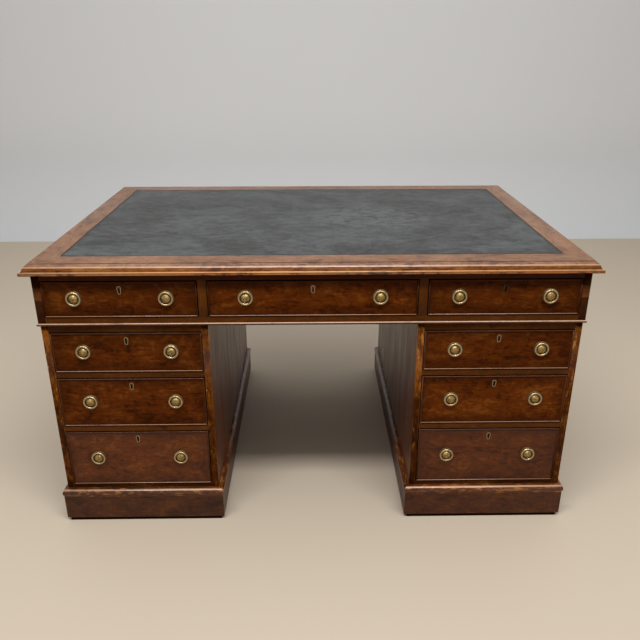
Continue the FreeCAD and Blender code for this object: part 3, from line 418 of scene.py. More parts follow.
def plain_surface(name, tint, roughness, foot=1.0):
    """A plain pale stage surface with a faint unevenness, darker at its foot as painted shade, and clear from
    behind.
    """
    finish = Finish(name)
    place = finish.place()
    cloud = finish.noise(place, 0.9, detail=3)
    height = finish.node("ShaderNodeSeparateXYZ", Vector=place).outputs["Z"]
    colour = finish.mix(cloud, scaled(tint, 0.97), tuple(tint))
    # The colour darkens towards the foot as painted shade
    finish.surface(
        Base_Color=finish.shade(colour, finish.fit(height, 0, 0.9, foot, 1)),
        Roughness=roughness,
        Specular_IOR_Level=0.25)
    finish.clear_behind()
    return finish.material


def scaled(tint, factor):
    """A colour made lighter or darker."""
    return tuple(min(channel * factor, 1.0) for channel in tint)


def all_scaled(tints, factor):
    """Several colours made lighter or darker."""
    return tuple(scaled(tint, factor) for tint in tints)


def make_woods(colours):
    """Mahogany of the boards and drawer fronts, and the plain wood of the linings."""
    wood = (tuple(colours.wood_dark), tuple(colours.wood_middle), tuple(colours.wood_light))
    dark, middle, light = wood
    fronts = all_scaled(wood, 1.12)
    polished_wood("plain_mahogany", (dark, tuple(colours.golden), light), light, roughness=0.42)
    polished_wood("figured_mahogany", fronts, light, contrast=1.5, roughness=0.42, specular=0.04, grime_and_shade=0.45)
    # Painted shade: the frieze fronts are a darker copy of the other fronts, for the shadow of the top's
    # overhang
    polished_wood("shaded_mahogany", wood, light, contrast=1.5, roughness=0.42, specular=0.04, grime_and_shade=0.45)
    polished_wood("hazy_mahogany", fronts, light, contrast=1.4, roughness=0.46, specular=0.25, grime_and_shade=0.4)
    polished_wood("side_mahogany", wood, light, contrast=0.4, roughness=0.32, specular=0.22, coat=0.12,
                  bump=0.02)
    polished_wood("plinth_mahogany", all_scaled(wood, 0.7), light, contrast=1.7, wear=0.2, specular=0.3)
    # Painted shade: a darker copy of the mahogany for faces under the top's overhang and in the step of its
    # edge
    polished_wood("grimy_mahogany", all_scaled(wood, 0.5), middle)
    polished_wood("gap_shade", all_scaled(wood, 0.12), dark, roughness=0.7, specular=0.02)
    polished_wood("bead_mahogany", all_scaled(wood, 0.8), light, roughness=0.28, specular=0.2, coat=0.1)
    polished_wood("plinth_moulding", wood, tuple(colours.wood_worn), contrast=1.6, wear=0.75, roughness=0.28,
                  specular=0.3, coat=0.2)
    lining = (tuple(colours.lining_dark), tuple(colours.lining_light))
    plain_wood("drawer_lining", *lining, scaled(lining[0], 0.8))
    plain_wood("carcase_lining", *all_scaled(lining, 0.8), scaled(lining[0], 0.5))


def make_rubbed_woods(colours):
    """Mahogany that hands and light have worn, with painted highlights and a painted sheen: the top and its
    edge, the beads and the front edges.
    """
    worn = tuple(colours.wood_worn)
    pale = tuple(colours.rubbed_line)
    golden = tuple(colours.golden)
    polished_wood("worn_edge", (scaled(tuple(colours.wood_dark), 1.2), golden, scaled(golden, 2.4)), worn,
                  contrast=2.0, wear=0.55, specular=0.04)
    # Rubbed wear with a painted highlight, for the up-facing rounds of the beads
    polished_wood("rubbed_line", (scaled(worn, 0.5), scaled(pale, 0.9), pale), pale, contrast=0.9,
                  roughness=0.3, specular=0.5, coat=0.4)
    # Fading with a painted grey sheen of reflected light, for the top
    faded = (tuple(colours.faded_sheen_dark), tuple(colours.faded), tuple(colours.faded_sheen_light))
    polished_wood("faded_mahogany", faded, worn, contrast=1.8, roughness=0.34, specular=0.4, coat=0.12)
    edge = (tuple(colours.edge_dark), tuple(colours.edge), worn)
    polished_wood("moulding_mahogany", edge, worn, contrast=1.6, wear=0.3, roughness=0.26, specular=0.4,
                  coat=0.4)
    # Painted highlight over rubbed wear, for the upper round of the lip
    lip = tuple(colours.lip_rub_highlight)
    polished_wood("edge_line", (worn, lip, scaled(lip, 1.1)), worn, roughness=0.3, specular=0.5, coat=0.5)
    hidden = (edge[0], scaled(edge[1], 0.42), scaled(worn, 0.6))
    polished_wood("round_mahogany", hidden, scaled(worn, 0.6), contrast=1.6, wear=0.2)
    # Painted highlight band, for the round of the top's edge
    polished_wood("round_line", (hidden[1], scaled(pale, 0.75), scaled(pale, 0.85)), worn, roughness=0.26,
                  specular=0.5, coat=0.7)


def make_leather_and_metals(colours):
    """The leather, the brass of the fittings and the iron of the locks."""
    desk_leather("slate_leather", tuple(colours.leather), tuple(colours.leather_scuff), RUBBED_SPOT)
    dull = tuple(colours.brass_dull)
    iron = tuple(colours.iron)
    aged_metal("ring_brass", tuple(colours.brass), dull, roughness=0.28)
    aged_metal("boss_brass", tuple(colours.brass_boss), dull, roughness=0.46, mottle=0.7)
    # Blackened brass, also the painted shade on the walls of the keyholes
    aged_metal("black_brass", scaled(dull, 0.5), scaled(dull, 0.2), roughness=0.5)
    aged_metal("lock_iron", iron, scaled(iron, 0.4), roughness=0.42)


# Modelling

def focus(piece):
    """Makes a piece the only one that is selected, and the active one."""
    bpy.ops.object.select_all(action="DESELECT")
    piece.select_set(True)
    bpy.context.view_layer.objects.active = piece


def apply_modifier(kind, **settings):
    """Adds a modifier to the active piece and applies it."""
    bpy.ops.object.modifier_add(type=kind)
    modifier = bpy.context.object.modifiers[-1]
    for name, value in settings.items():
        setattr(modifier, name, value)
    bpy.ops.object.modifier_apply(modifier=modifier.name)


def copy_solids(node, name, keep=None):
    """A piece with a node's mesh: every solid merged by itself, and each face marked with its solid.

    A solid ends where its surface closes, and a triangle with no area is left out. keep is asked, with a
    solid's box, whether it belongs.
    """
    source = frame["nodes"][node].data
    corners = [tuple(round(value, SAME_POINT) for value in vertex.co) for vertex in source.vertices]
    points, faces, owners = [], [], []
    numbers, new_faces, open_edges = {}, [], set()
    count = 0
    for polygon in source.polygons:
        outline = [corners[index] for index in polygon.vertices]
        if len(set(outline)) < len(outline):
            continue
        face = [numbers.setdefault(point, len(numbers)) for point in outline]
        new_faces.append(face)
        for edge in zip(face, face[1:] + face[:1]):
            if edge[::-1] in open_edges:
                open_edges.remove(edge[::-1])
            else:
                open_edges.add(edge)
        if open_edges and polygon.index < len(source.polygons) - 1:
            continue
        place = np.array(list(numbers))
        if keep is None or keep(place.min(0), place.max(0)):
            faces += [[len(points) + index for index in face] for face in new_faces]
            owners += [count] * len(new_faces)
            points += list(numbers)
            count += 1
        numbers, new_faces, open_edges = {}, [], set()
    mesh = bpy.data.meshes.new(name)
    mesh.from_pydata(points, [], faces)
    mesh.attributes.new("board", "INT", "FACE").data.foreach_set("value", owners)
    piece = bpy.data.objects.new(name, mesh)
    bpy.context.collection.objects.link(piece)
    focus(piece)
    return piece


def mark_edges(mesh):
    """Gives weight to the long sharp edges; the edges of holes and of mitres stay crisp."""
    faces = {}
    for polygon in mesh.polygons:
        for key in polygon.edge_keys:
            faces.setdefault(key, []).append(polygon.normal)
    weights = []
    for edge in mesh.edges:
        beside = faces.get(edge.key, [])
        ends = [mesh.vertices[index].co for index in edge.vertices]
        sharp = len(beside) == 2 and beside[0].angle(beside[1], 0) > EDGE_ANGLE
        weights.append(float(sharp and (ends[0] - ends[1]).length > SHORT_EDGE))
    mesh.attributes.new("bevel_weight_edge", "FLOAT", "EDGE").data.foreach_set("value", weights)


def ease_edges(piece, width):
    """Makes flat faces whole and rounds every sharp edge a little; the rounded faces are marked."""
    focus(piece)
    bpy.ops.object.mode_set(mode="EDIT")
    bpy.ops.mesh.select_all(action="SELECT")
    bpy.ops.mesh.dissolve_degenerate(threshold=SLIVER)
    bpy.ops.mesh.dissolve_limited(angle_limit=COPLANAR)
    bpy.ops.mesh.faces_shade_smooth()
    bpy.ops.object.mode_set(mode="OBJECT")
    mark_edges(piece.data)
    for index in range(2):
        piece.data.materials.append(None)
    apply_modifier("BEVEL", limit_method="WEIGHT", width=width, segments=2, use_clamp_overlap=False,
                   material=1)
    apply_modifier("WEIGHTED_NORMAL", mode="FACE_AREA", weight=60, keep_sharp=True)
    eased = [float(polygon.material_index == 1) for polygon in piece.data.polygons]
    piece.data.attributes.new("eased", "FLOAT", "FACE").data.foreach_set("value", eased)
    piece.data.materials.clear()


def boards_of(piece):
    """The vertices of each board of a piece, with the board's lowest and highest corner."""
    mesh = piece.data
    owner = np.zeros(len(mesh.polygons), np.int32)
    mesh.attributes["board"].data.foreach_get("value", owner)
    sizes = np.zeros(len(mesh.polygons), np.int32)
    mesh.polygons.foreach_get("loop_total", sizes)
    corners = np.zeros(len(mesh.loops), np.int32)
    mesh.loops.foreach_get("vertex_index", corners)
    place = np.zeros(len(mesh.vertices) * 3, np.float32)
    mesh.vertices.foreach_get("co", place)
    place = place.reshape(-1, 3)
    of_corner = np.repeat(owner, sizes)
    for board in range(owner.max() + 1):
        members = np.unique(corners[of_corner == board])
        yield board, owner == board, members, place[members], place[members].min(0), place[members].max(0)


def lay_boards(piece, finish_of, grain_of=None):
    """Gives each board its finish, a tone of its own and grain from its own part of the log."""
    draw = random.Random(piece.name)
    mesh = piece.data
    grain = np.zeros((len(mesh.vertices), 3), np.float32)
    tone = np.zeros(len(mesh.vertices), np.float32)
    slots = np.zeros(len(mesh.polygons), np.int32)
    used = []
    corners = {name: np.zeros((len(mesh.vertices), 3), np.float32) for name in ("low", "high")}
    for board, faces, members, place, low, high in boards_of(piece):
        finish = finish_of(low, high) if callable(finish_of) else finish_of
        if finish not in used:
            used.append(finish)
        along = grain_of(low, high) if grain_of else int(np.argmax(high - low))
        order = [along, (along + 1) % 3, (along + 2) % 3]
        shift = np.array([draw.uniform(-LOG_REACH, LOG_REACH) for axis in range(3)], np.float32)
        grain[members] = place[:, order] + shift
        tone[members] = draw.random()
        corners["low"][members] = low
        corners["high"][members] = high
        slots[faces] = used.index(finish)
    mesh.attributes.new("grain", "FLOAT_VECTOR", "POINT").data.foreach_set("vector", grain.ravel())
    mesh.attributes.new("tone", "FLOAT", "POINT").data.foreach_set("value", tone)
    for name, values in corners.items():
        mesh.attributes.new(name, "FLOAT_VECTOR", "POINT").data.foreach_set("vector", values.ravel())
    for finish in used:
        mesh.materials.append(bpy.data.materials[finish])
    mesh.polygons.foreach_set("material_index", slots)


def recoat(piece, finish, chosen):
    """Gives another finish to the faces that are chosen by their centre and normal."""
    mesh = piece.data
    mesh.materials.append(bpy.data.materials[finish])
    for polygon in mesh.polygons:
        if chosen(polygon.center, polygon.normal):
            polygon.material_index = len(mesh.materials) - 1


def settle(piece, node):
    """The piece stands for a node and rides on its body."""
    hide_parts(node)
    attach(piece, frame["nodes"][node]["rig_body"])


def wooden(node, name, finish_of, ease, grain_of=None, keep=None):
    """A wooden piece with a node's boards, their edges eased and their grain laid."""
    piece = copy_solids(node, name, keep)
    ease_edges(piece, ease)
    lay_boards(piece, finish_of, grain_of)
    settle(piece, node)
    return piece


def metal(node, name, finish_of, patina_and_shade_of=None):
    """A metal piece with a node's solids, smooth but for its edges, dull in its hollows and darkened where
    painted shade is asked for.
    """
    piece = copy_solids(node, name)
    bpy.ops.object.shade_smooth_by_angle(angle=EDGE_ANGLE)
    lay_boards(piece, finish_of)
    hollow = [patina_and_shade_of(vertex.co) if patina_and_shade_of else 0.0 for vertex in piece.data.vertices]
    piece.data.attributes.new("hollow", "FLOAT", "POINT").data.foreach_set("value", hollow)
    settle(piece, node)
    return piece


# Pieces

# Normals at which a finish ends: on a slope, a steep slope, a flat face, and from one slope to another, the
# last for the rounds that take a painted highlight
SLOPE = 0.3
STEEP = 0.5
FLAT = 0.9
EDGE_ROUND = (0.58, 0.78)
BEAD_ROUND = (0.35, 0.95)
PLINTH_ROUND = (0.6, 0.9)
COCKBEAD_ROUND = (0.3, 0.95)

# Heights on the top's edge: its lip from below, its shoulder and step from above, its painted highlight line
# above the lip
LIP_HEIGHT = 0.0097
SHOULDER_DROP = 0.0068
STEP_DROP = 0.0017
LINE_RISE = 0.006

# Heights and places on the carcase
TOUCHING = 0.001
TOP_RAIL_HEIGHT = 0.03
OUTER_FACE = 0.7
PLINTH_MOULDING = 0.02

# Drawers: how deep a front is, the widest that a cockbead is, and the heights of the beads' finishes: the
# painted highlight on the lower bead, and the painted shade on the upper bead and in the gap above it
FRONT_DEPTH = 0.03
COCKBEAD_WIDTH = 0.006
LOWER_BEAD = 0.005
UPPER_BEAD = 0.004
UPPER_GAP = 0.001

# Brass, from the middle of a rose: boss, dish and rim; the dish's depths, and how dull each part is, the
# rim's edge darkened as a painted shadow line with dirt
BOSS_REACH = 0.0125
DISH_REACH = 0.0195
RIM_REACH = 0.0215
RING_STANDOFF = 0.0029
DISH_FRONT = 0.0050
DISH_SLOPE = 0.003
DISH_DULL = 0.7
RIM_DULL = 0.95
OTHER_DULL = 0.4
KEYHOLE_REACH = 0.01
ESCUTCHEON_WIDTH = 0.02
LOCK_WIDTH = (0.05, 0.06)

# Doors: the least size of a panel and of a lock, and the widest that a panel's moulding is
PANEL_SIZE = 0.2
DOOR_LOCK_SIZE = 0.03
PANEL_MOULDING = 0.01


def between(value, limits):
    """Whether a value lies inside a pair of limits."""
    return limits[0] < value < limits[1]


def make_leather(sizes):
    """The skiver: a sheet whose edge turns down to the border, with the slight waves of old glue."""
    low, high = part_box("leather_writing_surface")
    bpy.ops.object.select_all(action="DESELECT")
    bpy.ops.mesh.primitive_cube_add(size=1, location=(low + high) / 2)
    piece = bpy.context.object
    piece.name = "Leather"
    piece.scale = high - low
    bpy.ops.object.transform_apply(location=True, rotation=True, scale=True)
    bpy.ops.object.mode_set(mode="EDIT")
    bpy.ops.mesh.select_mode(type="FACE")
    bpy.ops.mesh.select_all(action="DESELECT")
    bpy.ops.object.mode_set(mode="OBJECT")
    for polygon in piece.data.polygons:
        polygon.select = polygon.normal.z > STEEP
    bpy.ops.object.mode_set(mode="EDIT")
    bpy.ops.mesh.inset(thickness=sizes.leather_roll * 2)
    bpy.ops.mesh.inset(thickness=sizes.leather_roll)
    bpy.ops.mesh.subdivide(number_cuts=60)
    bpy.ops.object.vertex_group_assign_new()
    bpy.ops.object.mode_set(mode="OBJECT")
    rim = high.z - sizes.leather_roll / 3
    for vertex in piece.data.vertices:
        at_edge = min(vertex.co.x - low.x, high.x - vertex.co.x, vertex.co.y - low.y, high.y - vertex.co.y)
        if vertex.co.z > rim and at_edge < sizes.leather_roll:
            vertex.co.z -= sizes.leather_roll / 2
    waves = bpy.data.textures.new("leather_waves", "CLOUDS")
    waves.noise_scale = 0.16
    apply_modifier("DISPLACE", texture=waves, strength=sizes.leather_wave, mid_level=0.6, direction="Z",
                   vertex_group=piece.vertex_groups[0].name)
    bpy.ops.object.shade_smooth_by_angle(angle=EDGE_ANGLE)
    piece.data.attributes.new("board", "INT", "FACE")
    lay_boards(piece, "slate_leather")
    settle(piece, "leather_writing_surface")


def make_top(sizes):
    """Mitred border, with fading from light and a painted grey sheen on top, rubbed along its moulded edge
    with painted highlights on its rounds and painted shade in its step, round the core board.
    """
    border = wooden("top_border", "Top_border", "moulding_mahogany", sizes.moulding_ease)
    low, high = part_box("top_border")
    lip = low.z + LIP_HEIGHT
    shoulder = high.z - SHOULDER_DROP
    step = high.z - STEP_DROP
    on_round = (lip, shoulder)
    on_line = (lip + LINE_RISE, shoulder)
    # Painted highlight over rubbed wear on the lip's round
    recoat(border, "edge_line", lambda centre, normal: centre.z < lip and normal.z > SLOPE)
    recoat(border, "round_mahogany", lambda centre, normal: between(centre.z, on_round) and normal.z > SLOPE)
    # Painted highlight band on the round
    recoat(border, "round_line",
           lambda centre, normal: between(centre.z, on_line) and between(normal.z, EDGE_ROUND))
    # Painted grey sheen over fading on the flat top and the shoulder
    recoat(border, "faded_mahogany", lambda centre, normal: centre.z > shoulder and normal.z > SLOPE)
    # Painted shade on the upright face of the step
    recoat(border, "grimy_mahogany", lambda centre, normal: centre.z > step and abs(normal.z) < SLOPE)
    wooden("top_core_board", "Top_core", "carcase_lining", sizes.board_ease)


def make_frieze(sizes):
    """Ends, rails, dividers and bead in mahogany, with painted shade on the top rail and in the gaps and a
    painted highlight with rubbed wear on the bead; partitions, runners and dust boards in plain wood.
    """
    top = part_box("frieze_rails")[1].z - TOUCHING

    # The top rail under the top's overhang takes painted shade
    def finish_of(low, high):
        return "grimy_mahogany" if high[Z] > top and low[Z] > top - TOP_RAIL_HEIGHT else "plain_mahogany"

    for part in ("ends", "rails", "dividers"):
        boards = wooden(f"frieze_{part}", f"Frieze_{part}", finish_of, sizes.board_ease)
        if part != "ends":
            recoat(boards, "gap_shade", lambda centre, normal: normal.z < -FLAT or abs(normal.x) > FLAT)
    bead = wooden("frieze_bead", "Frieze_bead", "bead_mahogany", sizes.moulding_ease)
    # Painted highlight over rubbed wear on the bead's round
    recoat(bead, "rubbed_line", lambda centre, normal: between(normal.z, BEAD_ROUND))
    for part in ("partitions", "runners", "dust_boards"):
        wooden(f"frieze_{part}", f"Frieze_{part}", "carcase_lining", sizes.board_ease)


def make_pedestals(sizes):
    """Upright-grained sides with rubbed front edges, level rails, and plain wood inside."""
    for side in SIDES:
        boards = wooden(f"{side}_pedestal_sides", f"Pedestal_sides_{side}", "side_mahogany",
                        sizes.board_ease, grain_of=lambda low, high: Z)
        recoat(boards, "plain_mahogany",
               lambda centre, normal: abs(centre.x) > OUTER_FACE and abs(normal.x) > FLAT)
        recoat(boards, "worn_edge", lambda centre, normal: abs(normal.y) > SLOPE)
        rails = wooden(f"{side}_pedestal_rails", f"Pedestal_rails_{side}", "plain_mahogany",
                       sizes.board_ease, grain_of=lambda low, high: X)
        recoat(rails, "gap_shade", lambda centre, normal: normal.z < -FLAT)
        wooden(f"{side}_pedestal_linings", f"Pedestal_linings_{side}", "carcase_lining",
               sizes.board_ease)


def make_plinths(sizes):
    """Dark plinth boards under a moulding whose polish is rubbed through and whose round takes a painted
    highlight, on strips painted black as the shade under the plinth, and blocks.
    """
    board_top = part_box("left_plinth")[1].z - PLINTH_MOULDING

    def finish_of(low, high):
        return "plinth_moulding" if high[Z] > board_top else "plinth_mahogany"

    # The low strips are painted black as the shade under the plinth
    def foot_finish_of(low, high):
        return "gap_shade" if high[Z] < board_top / 2 else "carcase_lining"

    # Painted highlight over rubbed wear on the moulding's up-facing round
    def rubbed(centre, normal):
        return centre.z > board_top and between(normal.z, PLINTH_ROUND) and abs(normal.y) > SLOPE

    for side in SIDES:
        plinth = wooden(f"{side}_plinth", f"Plinth_{side}", finish_of, sizes.moulding_ease)
        recoat(plinth, "rubbed_line", rubbed)
    wooden("plinth_feet", "Plinth_feet", foot_finish_of, sizes.board_ease)


def make_drawer(name, sizes):
    """A figured front in its cockbeads, with a painted highlight on its lower bead and painted shade along
    its top, and the box behind it in plain wood.
    """
    low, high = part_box(name)
    faces_front = low.y + high.y < 0
    title = name.replace("drawer_", "", 1)
    in_frieze = title.startswith("frieze")
    # The frieze fronts take a darker copy, as painted shade from the top's overhang
    front_finish = "shaded_mahogany" if in_frieze else "figured_mahogany"
    if title.endswith("lower"):
        front_finish = "hazy_mahogany"

    def at_face(solid_low, solid_high):
        if faces_front:
            return solid_high[Y] < low.y + FRONT_DEPTH
        return solid_low[Y] > high.y - FRONT_DEPTH

    def behind_face(solid_low, solid_high):
        return not at_face(solid_low, solid_high)

    def finish_of(solid_low, solid_high):
        size = solid_high - solid_low
        return "bead_mahogany" if min(size[X], size[Z]) < COCKBEAD_WIDTH else front_finish

    # Painted highlight over rubbed wear on the lower bead's round
    def on_lower_bead(centre, normal):
        return centre.z < low.z + LOWER_BEAD and between(normal.z, COCKBEAD_ROUND)

    front = wooden(name, f"Drawer_front_{title}", finish_of, sizes.moulding_ease, keep=at_face)
    recoat(front, "rubbed_line", on_lower_bead)
    # Painted shade on the upper bead of a frieze drawer, under the top's overhang
    if in_frieze:
        recoat(front, "grimy_mahogany",
               lambda centre, normal: centre.z > high.z - UPPER_BEAD and normal.z > -STEEP)
    recoat(front, "gap_shade", lambda centre, normal: centre.z > high.z - UPPER_GAP and normal.z > FLAT)
    wooden(name, f"Drawer_box_{title}", "drawer_lining", sizes.moulding_ease,
           keep=behind_face)


def make_handles(name):
    """Roses, nuts, escutcheon and lock of one drawer, and its two rings."""
    low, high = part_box(f"{name}_rings")
    radius = (high.z - low.z) / 2
    centres = [(low.x + radius, low.z + radius), (high.x - radius, low.z + radius)]
    keyhole = (low.x + high.x) / 2
    outward = -1 if low.y < 0 else 1
    face = (low.y if outward > 0 else high.y) - outward * RING_STANDOFF

    def reach_of(point):
        return min(math.hypot(point.x - x, point.z - z) for x, z in centres)

    def patina_and_shade_of(point):
        reach = reach_of(point)
        if reach > DISH_REACH:
            # The rim's edge is darkened as a painted shadow line with dirt
            return RIM_DULL if reach < RIM_REACH else OTHER_DULL
        depth = (point.y - face) * outward
        return DISH_DULL * min(max((DISH_FRONT - depth) / DISH_SLOPE, 0), 1)

    def finish_of(solid_low, solid_high):
        wide = solid_high[X] - solid_low[X]
        if name in DARK_KEYHOLES and wide < ESCUTCHEON_WIDTH:
            return "black_brass"
        return "lock_iron" if between(wide, LOCK_WIDTH) else "ring_brass"

    # The keyhole's walls are painted black as the shade inside it
    def inside_keyhole(centre, normal):
        aside = centre.x - keyhole
        return abs(aside) < KEYHOLE_REACH and aside * normal.x < 0 and abs(normal.y) < STEEP

    title = name.replace("drawer_", "", 1)
    plates = metal(f"{name}_fittings", f"Handle_plates_{title}", finish_of, patina_and_shade_of)
    recoat(plates, "boss_brass", lambda centre, normal: reach_of(centre) < BOSS_REACH)
    recoat(plates, "black_brass", inside_keyhole)
    metal(f"{name}_rings", f"Rings_{title}", "ring_brass")


def make_door(side, sizes):
    """A framed door: upright stiles, level rails, a figured panel and its moulding, with its brass."""
    name = f"door_{side}"

    def finish_of(low, high):
        narrow = min(high[X] - low[X], high[Z] - low[Z])
        if narrow > PANEL_SIZE:
            return "figured_mahogany"
        return "bead_mahogany" if narrow < PANEL_MOULDING else "plain_mahogany"

    def metal_of(low, high):
        narrow = min(high[X] - low[X], high[Z] - low[Z])
        return "lock_iron" if narrow > DOOR_LOCK_SIZE else "ring_brass"

    wooden(name, f"Door_{side}", finish_of, sizes.moulding_ease)
    metal(f"{name}_fittings", f"Door_brass_{side}", metal_of)


# Stage

FLOOR_SIZE = 60
BACKDROP_PLACE = 3.0
BACKDROP_HEIGHT = 4
BACKDROP_BEND = 0.5
BEND_START = 0.002
SENSOR_WIDTH = 36
SKY_TINT = (1.0, 0.96, 0.91, 1)


def select_edges(piece, chosen):
    """Selects the edges whose ends are both chosen, and opens the piece for editing."""
    for edge in piece.data.edges:
        edge.select = all(chosen(piece.data.vertices[index].co) for index in edge.vertices)
    bpy.ops.object.mode_set(mode="EDIT")


def make_floor(stage):
    """A pale floor that curves up into a pale backdrop behind the desk."""
    bpy.ops.object.select_all(action="DESELECT")
    bpy.ops.mesh.primitive_plane_add(size=FLOOR_SIZE, location=(0, BACKDROP_PLACE - FLOOR_SIZE / 2, 0))
    floor = bpy.context.object
    floor.name = "Floor"
    bpy.ops.object.transform_apply(location=True)
    bpy.ops.object.mode_set(mode="EDIT")
    bpy.ops.mesh.select_mode(type="EDGE")
    bpy.ops.mesh.select_all(action="DESELECT")
    bpy.ops.object.mode_set(mode="OBJECT")
    select_edges(floor, lambda point: point.y > 0)
    bpy.ops.mesh.extrude_region_move(TRANSFORM_OT_translate={"value": (0, 0, BACKDROP_HEIGHT)})
    bpy.ops.object.mode_set(mode="OBJECT")
    select_edges(floor, lambda point: point.y > 0 and point.z < BACKDROP_HEIGHT / 2)
    bpy.ops.mesh.bevel(offset=BACKDROP_BEND, segments=12, affect="EDGES")
    bpy.ops.object.mode_set(mode="OBJECT")
    bpy.ops.object.shade_smooth()
    floor.data.materials.append(plain_surface("pale_floor", stage.floor, roughness=0.6))
    # The backdrop is painted darker at its foot, as shade near the floor
    floor.data.materials.append(plain_surface("pale_backdrop", stage.wall, roughness=0.8, foot=0.88))
    for polygon in floor.data.polygons:
        polygon.material_index = int(polygon.center.z > BEND_START)
    floor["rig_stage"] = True


def make_light(name, place, aim, size, power):
    """A soft rectangular lamp that points at a spot."""
    bpy.ops.object.light_add(type="AREA", location=place)
    lamp = bpy.context.object
    lamp.name = name
    lamp.data.shape = "RECTANGLE"
    lamp.data.size, lamp.data.size_y = size
    lamp.data.energy = power
    lamp.rotation_euler = (Vector(aim) - Vector(place)).to_track_quat("-Z", "Y").to_euler()


def make_sky(stage):
    """Even light from all round, and a plain pale background where nothing stands."""
    world = bpy.data.worlds.new("Sky")
    bpy.context.scene.world = world
    world.use_nodes = True
    tree = world.node_tree
    light = tree.nodes["Background"]
    light.inputs["Color"].default_value = SKY_TINT
    light.inputs["Strength"].default_value = stage.sky
    seen = tree.nodes.new("ShaderNodeBackground")
    seen.inputs["Color"].default_value = (*stage.wall, 1)
    rays = tree.nodes.new("ShaderNodeLightPath")
    mixed = tree.nodes.new("ShaderNodeMixShader")
    shown = rays.outputs["Is Camera Ray"]
    for kind in ("Is Glossy Ray", "Is Transmission Ray"):
        either = tree.nodes.new("ShaderNodeMath")
        either.operation = "MAXIMUM"
        tree.links.new(shown, either.inputs[0])
        tree.links.new(rays.outputs[kind], either.inputs[1])
        shown = either.outputs[0]
    tree.links.new(shown, mixed.inputs[0])
    tree.links.new(light.outputs[0], mixed.inputs[1])
    tree.links.new(seen.outputs[0], mixed.inputs[2])
    tree.links.new(mixed.outputs[0], tree.nodes["World Output"].inputs["Surface"])


def make_camera(stage):
    """A camera in front of the desk, a little above its top and looking down on it."""
    bpy.ops.object.camera_add()
    camera = bpy.context.object
    camera.name = "Camera"
    camera.data.lens = stage.lens
    camera.data.sensor_width = SENSOR_WIDTH
    forward = Vector((math.sin(stage.yaw) * math.cos(stage.pitch),
                      math.cos(stage.yaw) * math.cos(stage.pitch), -math.sin(stage.pitch)))
    level = Vector((math.cos(stage.yaw), -math.sin(stage.yaw), 0))
    above = level.cross(forward)
    right = level * math.cos(stage.roll) + above * math.sin(stage.roll)
    up = above * math.cos(stage.roll) - level * math.sin(stage.roll)
    turn = Matrix((right, up, -forward)).transposed().to_4x4()
    camera.matrix_world = Matrix.Translation(stage.camera) @ turn
    bpy.context.scene.camera = camera


# Operators, panel and registration

class DeskOperator:
    """What the operators of the desk share."""
    bl_options = {"REGISTER", "UNDO"}

    def execute(self, context):
        self.build(context.scene)
        return {"FINISHED"}


class DESK_OT_finishes(DeskOperator, bpy.types.Operator):
    """Make the woods, leather and metals of the desk"""
    bl_idname = "desk.finishes"
    bl_label = "Finishes"

    def build(self, scene):
        make_woods(scene.desk_colours)
        make_rubbed_woods(scene.desk_colours)
        make_leather_and_metals(scene.desk_colours)


class DESK_OT_leather(DeskOperator, bpy.types.Operator):
    """Lay the leather in the top"""
    bl_idname = "desk.leather"
    bl_label = "Leather"

    def build(self, scene):
        make_leather(scene.desk_sizes)


class DESK_OT_top(DeskOperator, bpy.types.Operator):
    """Make the moulded border of the top and its core"""
    bl_idname = "desk.top"
    bl_label = "Top"

    def build(self, scene):
        make_top(scene.desk_sizes)


class DESK_OT_frieze(DeskOperator, bpy.types.Operator):
    """Make the frieze that holds the upper drawers"""
    bl_idname = "desk.frieze"
    bl_label = "Frieze"

    def build(self, scene):
        make_frieze(scene.desk_sizes)


class DESK_OT_pedestals(DeskOperator, bpy.types.Operator):
    """Make the two pedestals"""
    bl_idname = "desk.pedestals"
    bl_label = "Pedestals"

    def build(self, scene):
        make_pedestals(scene.desk_sizes)


class DESK_OT_plinths(DeskOperator, bpy.types.Operator):
    """Make the moulded plinths and the strips and blocks they stand on"""
    bl_idname = "desk.plinths"
    bl_label = "Plinths"

    def build(self, scene):
        make_plinths(scene.desk_sizes)


class DESK_OT_drawers(DeskOperator, bpy.types.Operator):
    """Make the twelve drawers"""
    bl_idname = "desk.drawers"
    bl_label = "Drawers"

    def build(self, scene):
        for name in DRAWERS:
            make_drawer(name, scene.desk_sizes)


class DESK_OT_handles(DeskOperator, bpy.types.Operator):
    """Make the brass of the drawers: roses, rings, escutcheons and locks"""
    bl_idname = "desk.handles"
    bl_label = "Handles"

    def build(self, scene):
        for name in DRAWERS:
            make_handles(name)


class DESK_OT_doors(DeskOperator, bpy.types.Operator):
    """Make the two cupboard doors and their hinges"""
    bl_idname = "desk.doors"
    bl_label = "Doors"

    def build(self, scene):
        for side in SIDES:
            make_door(side, scene.desk_sizes)
        metal("door_hinges", "Door_hinges", "ring_brass")


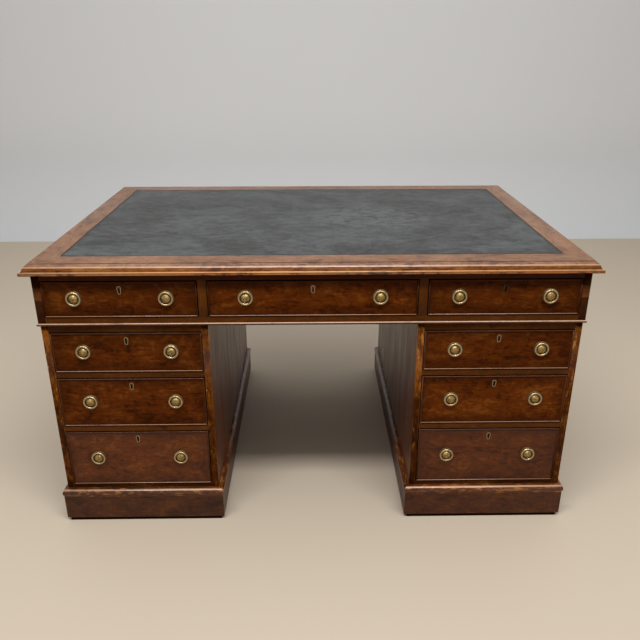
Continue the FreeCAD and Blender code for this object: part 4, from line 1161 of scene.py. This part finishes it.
class DESK_OT_stage(DeskOperator, bpy.types.Operator):
    """Make the floor, the light and the camera"""
    bl_idname = "desk.stage"
    bl_label = "Stage"

    def build(self, scene):
        stage = scene.desk_stage
        make_floor(stage)
        make_sky(stage)
        make_light("Ceiling_light", place=(0, -0.5, 3.8), aim=(0, -0.5, 0), size=(6.0, 5.0),
                   power=stage.ceiling_light)
        make_light("Strip_light", place=(0, -1.7, 3.3), aim=(0, -0.7, 0.4), size=(3.4, 0.45),
                   power=stage.strip_light)
        make_camera(stage)
        scene.view_settings.view_transform = "Standard"


OPERATORS = (DESK_OT_finishes, DESK_OT_leather, DESK_OT_top, DESK_OT_frieze, DESK_OT_pedestals,
             DESK_OT_plinths, DESK_OT_drawers, DESK_OT_handles, DESK_OT_doors, DESK_OT_stage)
GROUPS = (("desk_sizes", DeskSizes), ("desk_colours", DeskColours), ("desk_stage", DeskStage))


class DESK_PT_panel(bpy.types.Panel):
    """The desk's pieces and the values that a user would change"""
    bl_idname = "DESK_PT_panel"
    bl_label = "Partners Desk"
    bl_space_type = "VIEW_3D"
    bl_region_type = "UI"
    bl_category = "Desk"

    def draw(self, context):
        for operator in OPERATORS:
            self.layout.operator(operator.bl_idname)
        for name, group in GROUPS:
            box = self.layout.box()
            for prop in group.__annotations__:
                box.prop(getattr(context.scene, name), prop)


def register():
    """Registers the classes and hangs the values on the scene."""
    for name, group in GROUPS:
        bpy.utils.register_class(group)
        setattr(bpy.types.Scene, name, PointerProperty(type=group))
    for item in (*OPERATORS, DESK_PT_panel):
        bpy.utils.register_class(item)


def unregister():
    """Takes back what register added."""
    for item in (DESK_PT_panel, *reversed(OPERATORS)):
        bpy.utils.unregister_class(item)
    for name, group in reversed(GROUPS):
        delattr(bpy.types.Scene, name)
        bpy.utils.unregister_class(group)


def main():
    """Builds the desk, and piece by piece."""
    register()
    for operator in OPERATORS:
        module, name = operator.bl_idname.split(".")
        getattr(getattr(bpy.ops, module), name)()
    boxes = {"cad": CAD_BOX, "visual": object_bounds()}
    {name: [list(corner) for corner in box] for name, box in boxes.items()}


if __name__ == "__main__":
    main()
